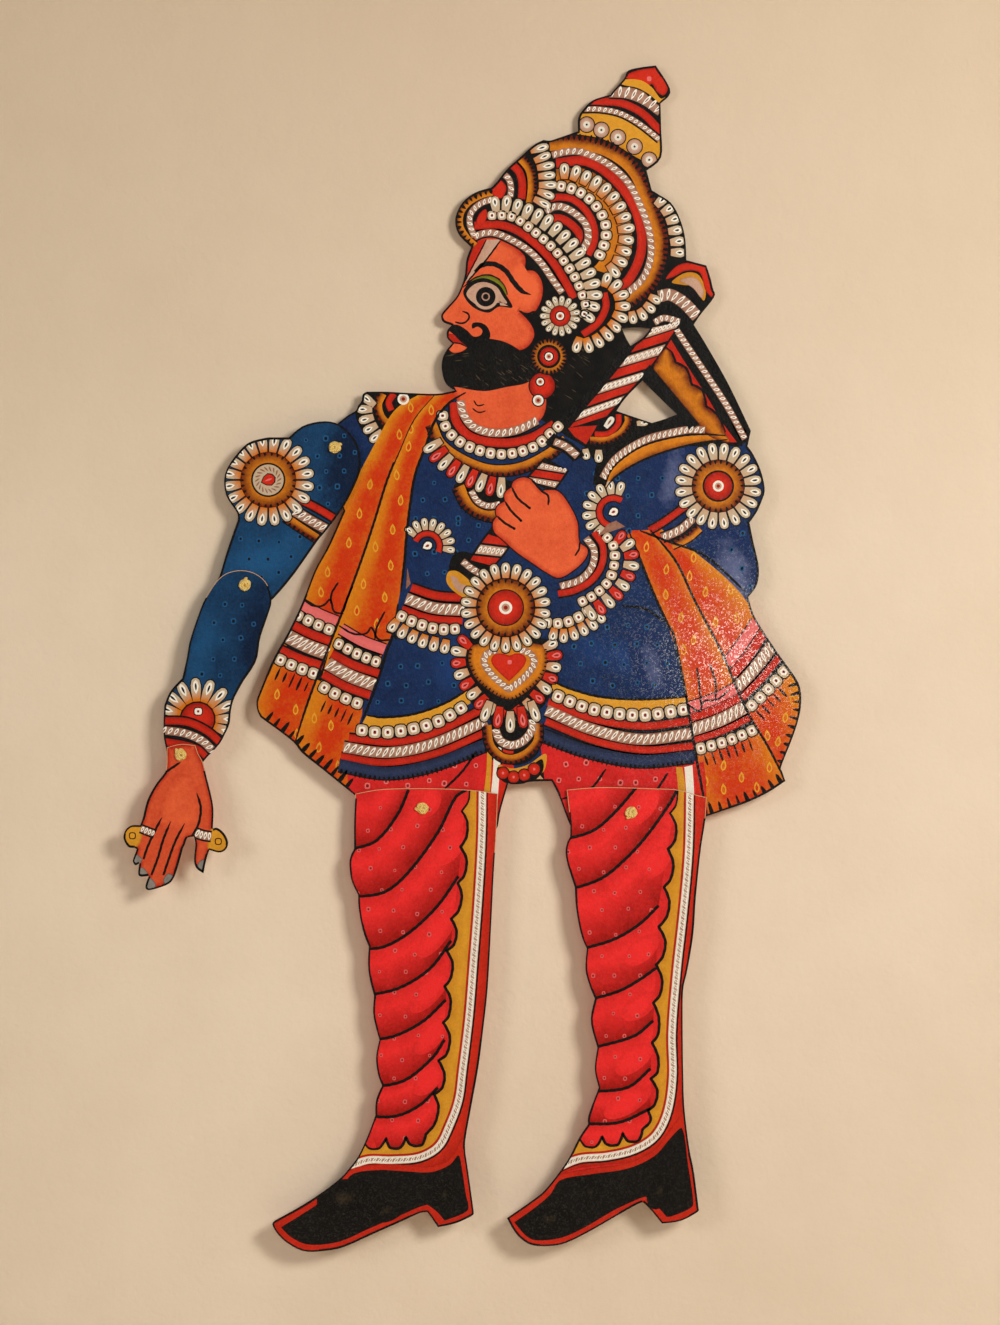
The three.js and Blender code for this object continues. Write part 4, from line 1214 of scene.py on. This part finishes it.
for place, out, size in (
        ((64.5, 94.5), (0.15, -1), (6, 8)),
        ((74, 93), (0.0, -1), (6.5, 9.5)),
        ((107, 118), (1, 0.1), (5, 8.5))):
    petal(art, place, Vector(out).normalized(), *size, 8, base=0.8)
art.fill("red", [(51, 114), (69, 117), (75, 120), (69, 109.5), (64.5, 102), (55.5, 108)], 6, 0.7)

# ---------------------------------------------------------------------------------------------
# Raised sleeve and fist: sleeve rosette, cuff bands and bracelet, then the hand closed on the shaft.
sleeve_rose = (164, 70.5)
red_band(art, [(112, 37), (123, 43.5), (139.5, 55.5)], 5.5, 5)
leaf_band(art, [(121.5, 31.5), (135, 37.5), (145.5, 46.5)], 6.5, 6)
toothed(art, [(129, 26), (141, 31.5), (150, 39)], 6.0, 1, 5)
ring_of_petals(art, sleeve_rose, 20, 32.5, 20, base=0.75)
gear(art, sleeve_rose, 11, 19.5, 26)
art.disc("red", sleeve_rose, 10.5, 9, 0.9, 0.25)
eye_bead(art, sleeve_rose, 4.2, 10)

petals(art, [(87, 34.5), (96, 26), (99, 15), (96, 3), (88.5, -9), (77, -19.5), (64.5, -27)], 11.5, 8.4, 1,
    ("red", "cream"), 0.8, coat=10)
beads(art, [(78, 34.5), (85, 25.5), (86, 13.5), (82, 0), (72, -10.5), (58.5, -18)], 7.8, 10)
red_band(art, [(70.5, 36), (77, 25.5), (76.5, 12), (69, 0), (55.5, -8), (43.5, -10.5)], 5.5, 10)
leaf_band(art, [(64.5, 31.5), (70.5, 22.5), (69, 10), (60, 0), (45, -5)], 5.5, 10)
fist = [(23.5, 75), (31, 67), (34, 67.5), (43.5, 66.5), (52, 56), (58, 43), (59.5, 28.5), (65.5, 23),
    (64, 16), (55.5, 7.5), (44, 1.5), (34, 6), (23.5, 13), (12, 21), (2, 30), (-4.5, 36), (-5.5, 43),
    (-2.5, 47.5), (-2.5, 47.5), (-3.5, 52), (-1.5, 56), (3.5, 59), (3.5, 59), (3, 64), (5.5, 67.5),
    (8.5, 69.5), (8.5, 69.5), (10, 74), (17, 77)]
art.fill("ink", offset(on(fist, True), 0.9)[::-1], 13, 0.3)
art.blob("skin", fist, 14, 0.82, 0.2, 3.5)
for finger in (
        [(8.5, 70), (13, 61.5), (22, 54)],
        [(3.5, 59), (8, 52), (15.5, 44.5)],
        [(-2.5, 48), (3, 43), (10.5, 38.5)]):
    art.line(finger, 1.5, 16, tips=(0.3, 0.9))
    art.mark("ink", BEAD, finger[-1], UP, (2.0, 2.0), 16, 0.3)
art.line([(23, 76), (31, 67), (36, 63), (36, 56)], 1.4, 16)
art.line([(60, 29), (59, 22.5), (56, 18)], 1.2, 16)


# ---------------------------------------------------------------------------------------------
# Cut edges: each sheet is outlined in ink along its border, as far as the border is seen.
def border_loops(sheet):
    """The outlines of a sheet's front face, each as flat dots in order."""
    mesh = bpy.data.objects[sheet].data
    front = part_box(sheet)[0][1]
    corner = [
        (round(v.co.x / MM, 3), round(v.co.z / MM, 3)) if abs(v.co.y - front) < 1e-5 else None
        for v in mesh.vertices]
    edges = set()
    for face in mesh.polygons:
        spots = [corner[i] for i in face.vertices]
        if None not in spots:
            edges.update(zip(spots, spots[1:] + spots[:1]))
    onward = {a: b for a, b in edges if (b, a) not in edges}
    loops = []
    while onward:
        start, here = next(iter(onward.items()))
        loop = [start]
        while here in onward and here != start:
            loop.append(here)
            here = onward.pop(here)
        onward.pop(start, None)
        loops.append([Vector(p) for p in loop])
    return loops


def outline_ink(art, width=1.5, coat=17, keep=lambda dot: True):
    """Ink along the border of the sheet, on its inner side; keep tells which dots have it."""
    for loop in border_loops(art.sheet):
        if length_of(loop) < 30:
            continue
        ring = loop[-1:] + loop + loop[:1]
        for first in range(0, len(loop), 6):
            part = [loop[i % len(loop)] for i in range(first, min(first + 7, len(loop) + 1))]
            ends = [ring[first]] + part
            if len(part) < 2:
                continue
            if not all(keep(dot) for dot in part):
                art.strip("raw", [offset(part, -0.5), offset(part, 0.45)], (1.0, 1.0), coat)
                continue
            wobble = width * (1 + 0.18 * math.sin(first * 1.3))
            art.strip("ink", [offset(part, -0.5), offset(part, wobble)], (0.4, 0.4), coat)

outline_ink(art)
art.lay()

# ---------------------------------------------------------------------------------------------
# Upper arm: blue sleeve with a jewelled rosette and an armband.
art = Painting("upper_arm", "upper_arm_sheet", "upper_arm")
art.fill("sky", [(-225, 135), (-90, 135), (-90, -45), (-232.5, -45)], 0.4, 0.45)
# A broad darker tone down the sleeve, then a painted sheen highlight across its lower part.
tone_and_sheen_patch(art, [(-108, 146), (-112.5, 15)], 70, "sky", -0.3, 0.45)
tone_and_sheen_patch(art, [(-228, 0), (-127.5, 33)], 46, "sky", 0.95, 0.45, 1.5)
punched(art, [(-150, 114), (-112.5, 111), (-106.5, 82.5), (-124, 49), (-136.5, 60), (-142.5, 82.5)], 15,
    "sky", 1.0)
punched(art, [(-196.5, 37.5), (-135, 34), (-157.5, 4), (-172.5, -15), (-208.5, -7.5)], 15, "sky", 1.0)
rose = (-174.5, 75)
for colour, line_points, width in (
        ("red", [(-150, 60), (-136.5, 53), (-121.5, 44)], 6.0),
        ("leaf", [(-155, 52), (-141, 43.5), (-127.5, 36)], 8.0)):
    (red_band if colour == "red" else leaf_band)(art, on(line_points), width)
toothed(art, [(-162, 47), (-148, 37.5), (-135, 29)], 6.5, -1, 5)
ring_of_petals(art, rose, 21, 34.5, 20, base=-0.05)
gear(art, rose, 12, 21, 26)
art.disc("cream", rose, 11.6, 9, 1.0)
for k in range(18):
    turn = math.tau * k / 18
    out = Vector((math.cos(turn), math.sin(turn)))
    art.mark("rose", LEAF, Vector(rose) + out * 8.2, (out + Vector((-out.y, out.x)) * 0.7).normalized(),
        (1.2, 4.6), 10, 0.2)
art.mark("ink", LEAF, rose, Vector((1, 0.35)).normalized(), (10, 12), 10, 0.3)
art.mark("red", LEAF, rose, Vector((1, 0.35)).normalized(), (8.4, 10), 11, 0.9)
art.mark("pink", LEAF, rose, Vector((1, 0.35)).normalized(), (1.4, 6), 12, 0.9)
outline_ink(art, 1.5, 13)
art.lay()

# ---------------------------------------------------------------------------------------------
# Forearm: the same blue sleeve, ending in a petal cuff and striped bands.
art = Painting("forearm", "forearm_sheet", "forearm")
art.fill("sky", [(-262.5, 15), (-157.5, 15), (-157.5, -157.5), (-262.5, -157.5)], 0.4, 0.35)
# A darker tone along the sleeve, then a painted sheen highlight beside it.
tone_and_sheen_patch(art, [(-169.5, 26), (-190.5, -112.5)], 54, "sky", -0.1, 0.35)
tone_and_sheen_patch(art, [(-213, 0), (-237, -106.5)], 34, "sky", 0.75, 0.35, 1.5)
punched(art, [(-216, -9), (-178.5, -9), (-180, -34), (-191, -69), (-225, -78), (-228, -60)], 15, "sky", 1.0)
cuff = (-227.5, -105)
ring_of_petals(art, cuff, 13.5, 31, 9, -34, 174, base=-0.15)
art.disc("ink", cuff, 13.8, 8, 0.3)
art.disc("red", cuff, 12.4, 9, 0.9, 0.3)
art.mark("ink", BEAD, (-227, -99), UP, (7.2, 6.4), 10, 0.3)
art.mark("white", BEAD, (-227, -99), UP, (5.6, 5.0), 11, 0.9)
art.mark("red", BEAD, (-227, -99), UP, (1.8, 1.8), 12, 0.2)
red_band(art, [(-255, -106), (-235.5, -107), (-220, -114), (-208.5, -124.5)], 6.4, 11)
leaf_band(art, [(-255, -113), (-237, -115.5), (-223.5, -121.5), (-214, -131)], 6.6, 12)
red_band(art, [(-255, -121.5), (-237, -124.5), (-225, -129), (-217.5, -136.5)], 6.4, 10)
art.fill("skin", [(-262.5, -126), (-237, -128), (-225, -133), (-216, -141), (-216, -157.5),
    (-262.5, -157.5)], 3, 0.6)
outline_ink(art, 1.5, 13, keep=lambda dot: dot.y < 1.5)
art.lay()

# ---------------------------------------------------------------------------------------------
# Hand: open and hanging, skin dye with ink between the fingers, grey nails and two ringed knobs.
art = Painting("hand", "hand_sheet", "hand")
palm = border_loops("hand_sheet")
palm = max(palm, key=length_of)
art.fill("skin", palm, 1, 0.55, -0.1, 4.0)
art.blob("skin", [(-246, -150), (-234, -147), (-225, -165), (-226.5, -181.5), (-243, -187.5),
    (-256.5, -181.5)], 2, 0.8, 0.5, 6.0)
for knob in (
        [(-285, -192), (-280.5, -185), (-274.5, -184), (-269, -186), (-270, -196.5), (-274.5, -202),
            (-280.5, -201)],
        [(-217, -187), (-211.5, -187), (-205.5, -192), (-204, -199), (-208.5, -205), (-216, -205.5),
            (-220, -201)]):
    art.blob("ochre", knob, 3, 0.8, 0.1, 1.8)
    centre = sum((Vector(p) for p in knob), Vector((0, 0))) / len(knob)
    art.mark("ink", BEAD, centre, UP, (5.4, 5.4), 4, 0.3)
    art.mark("ochre", BEAD, centre, UP, (3.8, 3.8), 5, 0.9)
for ring, width in (
        ([(-270, -187), (-265, -189), (-259.5, -191)], 5.0),
        ([(-229, -190), (-223.5, -192), (-217, -193)], 6.5)):
    leaf_band(art, ring, width, 6, 2.8, 0.1)
for nail in (
        [(-267, -227), (-264, -223.5), (-259, -228), (-260, -232.5), (-266, -233)],
        [(-253, -225), (-249, -220.5), (-244, -225), (-247.5, -229.5), (-252, -229)],
        [(-272, -219), (-269, -216), (-265, -220), (-265.5, -223.5), (-271, -223)],
        [(-277, -210), (-274, -206), (-269, -210), (-271.5, -214.5), (-275, -214)],
        [(-227, -213), (-223, -210), (-220.5, -216), (-223.5, -221), (-227, -218)]):
    art.fill("ink", offset(on(nail, True), -0.9), 6, 0.3)
    art.blob("nail", nail, 7, 0.5, 0.0, 0.8)
for finger in (
        [(-254, -178.5), (-258, -186), (-265, -201), (-268, -210)],
        [(-247.5, -181.5), (-253, -195), (-257, -208.5), (-262, -222)],
        [(-237, -183), (-244, -196.5), (-249, -210), (-253, -222)],
        [(-228, -160), (-225, -171), (-226.5, -183), (-232, -193.5)],
        [(-240, -137), (-246, -141), (-253.5, -146)]):
    art.line(finger, 1.5, 8, tips=(0.2, 0.8))
outline_ink(art, 1.5, 9, keep=lambda dot: dot.y < -133.5)
art.lay()


# ---------------------------------------------------------------------------------------------
# Legs: cloth wound up each leg in scalloped turns, a striped seam down the outer side and a black
# boot with a red welt. The two are one design, cut and painted twice.
def leg_painting(name, sheet, wraps, scallops, seam, red_edge, boot, welt, gloss):
    art = Painting(name, sheet, name)
    corner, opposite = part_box(sheet)
    x0, x1, z0, z1 = corner[0] / MM - 2, opposite[0] / MM + 2, corner[2] / MM - 2, opposite[2] / MM + 2
    art.fill("crimson", [Vector(p) for p in ((x0, z0), (x1, z0), (x1, z1), (x0, z1))], 1, 0.6)
    ends = [[(x, z + 40) for x, z in wraps[0]]] + list(wraps) + [[(x + 8, z - 26) for x, z in wraps[-1]]]
    for upper, lower in zip(ends, ends[1:]):
        art.between("crimson", on(upper), on(lower), (0.6, 0.95, 0.5, 0.0), 2)
    for wrap in wraps:
        art.line(wrap, 1.9, tips=(0.9, 0.5))
    # Painted highlight: a lighter patch in the middle of each turn of cloth.
    for upper, lower in zip(wraps, wraps[1:]):
        bright = [(Vector(upper[k]) + Vector(lower[k])) / 2 for k in (0, 1)]
        tone_and_sheen_patch(art, [bright[0], bright[0].lerp(bright[1], 1.7)], 17, "crimson", 1.3, 0.8, 2.5)
    zone = [Vector(p) for p in wraps[0]]
    zone += [Vector(p) - Vector((5, 0)) for p in scallops]
    zone += [Vector(wraps[-1][-1]), Vector((x0 + 6, z1 - 60))]
    punched(art, zone, 18, "pink", 0.5, "crimson", 3, 1.35)
    gold_left = on(scallops)
    seam = on(seam)
    art.strip("ink", [offset(gold_left, 0.0)[:2], offset(gold_left, 0.3)[:2]], (0.3, 0.3), 2)
    art.between("ochre", gold_left, offset(seam, 0.5), (0.4, 0.75, 0.45), 5)
    art.line(scallops, 1.8, 9)
    art.line([tuple(p) for p in offset(seam, 4.2)[::6]], 1.1, 10)
    leaf_band(art, offset(seam, 0.6), 6.0, 8, 4.1, 0.9, 0.9)
    art.strip("white", [offset(seam, 3.3), offset(seam, 1.7)], (0.3, 0.6), 9)
    art.strip("white", [offset(seam, -0.6), offset(seam, -2.2)], (0.6, 0.3), 9)
    art.between("red", offset(seam, -3.9), on(red_edge), (0.5, 0.9, 0.5), 7)
    art.fill("red", on(welt, True), 10, 0.75, 0.4, 1.5)
    art.fill("ink", on(boot, True), 11, 0.6)
    # Painted gloss highlights: soft lighter spots on the black boots.
    for spot, lean, size in gloss:
        gloss_spot = on([Vector(spot) - Vector(lean) * size, Vector(spot) + Vector(lean) * size])
        tone_and_sheen_patch(art, gloss_spot, size * 1.3, "umber", 0.15, -0.5, 12)
    return art


front_leg_wraps = (
    [(-69, -158), (-77, -176), (-93, -196), (-109, -202), (-116, -202.5)],
    [(-25.5, -158), (-33.5, -163.5), (-47, -190), (-70, -221), (-87.5, -235), (-112.5, -239)],
    [(-31.5, -223), (-47, -245), (-68, -265), (-87.5, -276), (-105, -278)],
    [(-37, -271.5), (-53, -292.5), (-76, -307), (-101, -313)],
    [(-41, -316), (-58, -332), (-79, -343), (-97.5, -346.5)],
    [(-42, -346), (-51, -359.5), (-72, -376.5), (-96, -382)],
    [(-47, -382), (-61, -395.5), (-79, -403.5), (-100.5, -403.5)])
front_leg_scallops = [(-23, -157.5), (-24, -166.5), (-29, -174), (-29, -174), (-25, -181.5),
    (-25.5, -193.5), (-30, -201), (-30, -201), (-25.5, -210), (-27, -222), (-32, -228), (-32, -228),
    (-29, -237), (-31.5, -249), (-37, -255), (-37, -255), (-33, -264), (-35, -274.5), (-40.5, -279),
    (-40.5, -279), (-36, -288), (-37.5, -300), (-42, -306), (-42, -306), (-37.5, -315), (-39, -328.5),
    (-43, -333), (-43, -333), (-38, -343.5), (-40.5, -357), (-46.5, -361.5), (-46.5, -361.5), (-42, -372),
    (-44, -382.5), (-50, -387), (-50, -387), (-46.5, -396), (-49.5, -409.5), (-56, -417), (-56, -417),
    (-59, -425), (-67.5, -425), (-71, -419), (-71, -419), (-75, -427), (-83, -427), (-86, -420),
    (-86, -420), (-91, -427.5), (-99, -427.5), (-103, -421.5), (-103, -421.5), (-108, -429)]
front_leg = leg_painting("front_leg", "front_leg_sheet", front_leg_wraps, front_leg_scallops,
    seam=[
        (-14, -156), (-14.5, -192.5), (-17, -238.5), (-20.5, -284), (-24, -328), (-29, -369.5),
        (-32, -391.5), (-39, -411), (-47, -426), (-61, -434), (-82, -436), (-100, -436), (-116, -442)],
    red_edge=[
        (0, -156), (-1, -192), (-4, -238.5), (-7, -284), (-10, -328), (-15, -369), (-19.5, -399),
        (-26, -424), (-39, -436.5), (-56, -443), (-82, -442.5), (-100, -442), (-120, -448.5)],
    boot=[
        (-111, -447), (-92, -444), (-70.5, -445), (-52, -445.5), (-38, -440), (-31.5, -433), (-29, -442.5),
        (-26, -462), (-24, -473), (-28.5, -477), (-42, -482), (-42, -482), (-48, -475), (-55, -470),
        (-55, -470), (-61.5, -472), (-75, -478), (-97.5, -487.5), (-118.5, -497), (-133.5, -500),
        (-147, -499.5), (-158, -494), (-165, -487), (-165, -487), (-141, -472), (-120, -457)],
    welt=[
        (-114, -444), (-92, -439.5), (-70.5, -440), (-52, -441), (-38, -435), (-28, -420), (-22.5, -442.5),
        (-18, -478.5), (-45, -489), (-45, -489), (-54, -477), (-54, -477), (-72, -484.5), (-116, -504),
        (-146, -508), (-172.5, -489), (-172.5, -480), (-142.5, -465)],
    gloss=(
        ((-116, -465), (1, 0.2), 22), ((-86, -474), (1, 0.35), 14), ((-42, -462), (0.3, 1), 12)))
outline_ink(front_leg, 1.4, 13, keep=lambda dot: dot.y < -163)
front_leg.lay()

rear_leg_wraps = (
    [(102.5, -156), (85, -176), (69, -189), (45, -196)],
    [(133, -158), (126.5, -169.5), (110, -192.5), (94.5, -209.5), (76, -224.5), (49.5, -234)],
    [(119, -245), (104.5, -259), (85, -270.5), (60, -278)],
    [(117, -292), (103.5, -301.5), (88.5, -309.5), (66, -316)],
    [(115, -331.5), (100.5, -343), (67.5, -352.5)],
    [(113, -367.5), (96, -381.5), (69, -385)],
    [(113, -397.5), (89, -408), (60, -409)])
rear_leg_scallops = [(133.5, -159), (132, -169.5), (127.5, -175.5), (127.5, -175.5), (132, -184.5),
    (131, -196.5), (126, -202.5), (126, -202.5), (130, -213), (128, -225), (123, -231), (123, -231),
    (127, -241.5), (125, -253.5), (119, -261), (119, -261), (124, -271.5), (122, -283.5), (117, -289.5),
    (117, -289.5), (121.5, -300), (120, -312), (115, -318), (115, -318), (119, -328.5), (118.5, -342),
    (114, -348), (114, -348), (118.5, -358.5), (118, -370.5), (113, -375), (113, -375), (118, -384),
    (116, -394.5), (111, -399), (111, -399), (113, -406.5), (107, -413), (107, -413), (104, -421.5),
    (96, -422), (92, -416), (92, -416), (88.5, -424.5), (80, -424.5), (76.5, -418.5), (76.5, -418.5),
    (72, -426), (64, -426), (60, -421), (60, -421), (51, -429)]
rear_leg = leg_painting("rear_leg", "rear_leg_sheet", rear_leg_wraps, rear_leg_scallops,
    seam=[
        (142, -156), (141, -204), (137, -250), (132, -295.5), (128.5, -341), (129, -374), (125, -400.5),
        (116, -418), (100.5, -428), (80, -433), (59, -435), (42, -442)],
    red_edge=[
        (157.5, -156), (155, -204), (151, -250), (145, -295.5), (139.5, -341), (140, -373.5), (137, -409),
        (126, -425), (105, -436.5), (80, -440), (59, -442.5), (37.5, -450)],
    boot=[
        (45, -451.5), (67.5, -447), (96, -442.5), (116, -433), (129, -418.5), (136.5, -412.5), (141, -439),
        (145, -469.5), (142, -473), (129, -478.5), (125, -479), (125, -479), (117, -470), (110, -464),
        (105, -465), (85.5, -474), (65, -486), (48, -494), (34.5, -496.5), (24, -496), (17, -491),
        (10.5, -483), (10.5, -483), (26, -472), (37.5, -462)],
    welt=[
        (41, -448.5), (67.5, -442.5), (96, -438), (116, -427.5), (129, -411), (142.5, -397.5),
        (150, -475.5), (121.5, -487.5), (121.5, -487.5), (109, -472), (109, -472), (65, -495), (34, -505),
        (11, -495), (0, -478.5), (30, -461)],
    gloss=(
        ((67.5, -460.5), (0.5, 0.7), 12), ((37.5, -481.5), (1, 0.2), 16), ((120, -459), (0.4, 1), 14)))
outline_ink(rear_leg, 1.4, 13, keep=lambda dot: dot.y < -166)
rear_leg.lay()

# ---------------------------------------------------------------------------------------------
# Joint cords: pale yellow cotton, knotted tight on both faces.
def cord_finish():
    look = Finish("knotted_cotton")
    strands = look.add("TexWave", {"wave_type": "BANDS", "bands_direction": "DIAGONAL"}, "Fac",
        Vector=look.place, Scale=420.0, Distortion=3.0, Detail=2.0)
    tone = look.mix(look.noise(350).over(0.3, 0.7), rgb(236, 196, 92), rgb(255, 240, 166))
    colour = look.mix(strands.over(0.0, 0.5), rgb(206, 158, 66), tone)
    return look.finish(colour, 0.85, strands + look.noise(900), 0.0003)


COTTON = cord_finish()
bpy.ops.object.select_all(action="DESELECT")
turns = []
for reach, thick, stretch, lean, shift in (
        (2.7, 1.15, (1.25, 1, 0.85), 0.5, (0.4, 0.2, 0.3)),
        (1.7, 1.0, (1.5, 1, 0.9), -0.7, (-0.6, -0.5, -0.4))):
    bpy.ops.mesh.primitive_torus_add(major_radius=reach * MM, minor_radius=thick * MM, major_segments=22,
        minor_segments=9, rotation=(math.pi / 2, 0, 0))
    turn = bpy.context.object
    bpy.ops.object.transform_apply(location=False, rotation=True, scale=False)
    turn.scale, turn.rotation_euler = (stretch, (0.12 * lean, lean, 0))
    turn.location = Vector(shift) * MM
    bpy.ops.object.transform_apply(location=True, rotation=True, scale=True)
    turns.append(turn)
bpy.ops.mesh.primitive_uv_sphere_add(segments=14, ring_count=8, radius=1.5 * MM,
    location=(3.4 * MM, 0.3 * MM, 2.2 * MM))
bpy.context.object.scale = (1.5, 0.7, 0.9)
bpy.ops.object.transform_apply(location=True, rotation=True, scale=True)
turns[0].select_set(True)
turns[1].select_set(True)
bpy.ops.object.join()
loose_turns = bpy.context.object
bpy.ops.object.shade_smooth()
loose_turns.data.materials.append(COTTON)
for index, (knot, body) in enumerate((("shoulder_knot", "body"), ("elbow_knot", "upper_arm"),
        ("wrist_knot", "forearm"), ("front_hip_knot", "body"), ("rear_hip_knot", "body"))):
    for material_slot in bpy.data.objects[knot].material_slots:
        material_slot.material = COTTON
    corner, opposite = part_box(knot)
    centre = Vector(((corner[0] + opposite[0]) / 2, corner[1] + 0.1 * MM, (corner[2] + opposite[2]) / 2))
    strands = bpy.data.objects.new(knot + "_turns", loose_turns.data.copy())
    bpy.context.scene.collection.objects.link(strands)
    turned = index * 0.9
    for vertex in strands.data.vertices:
        x, y, z = vertex.co
        vertex.co = centre + Vector((x * math.cos(turned) - z * math.sin(turned), y,
            x * math.sin(turned) + z * math.cos(turned)))
    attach(strands, body)
bpy.data.objects.remove(loose_turns)
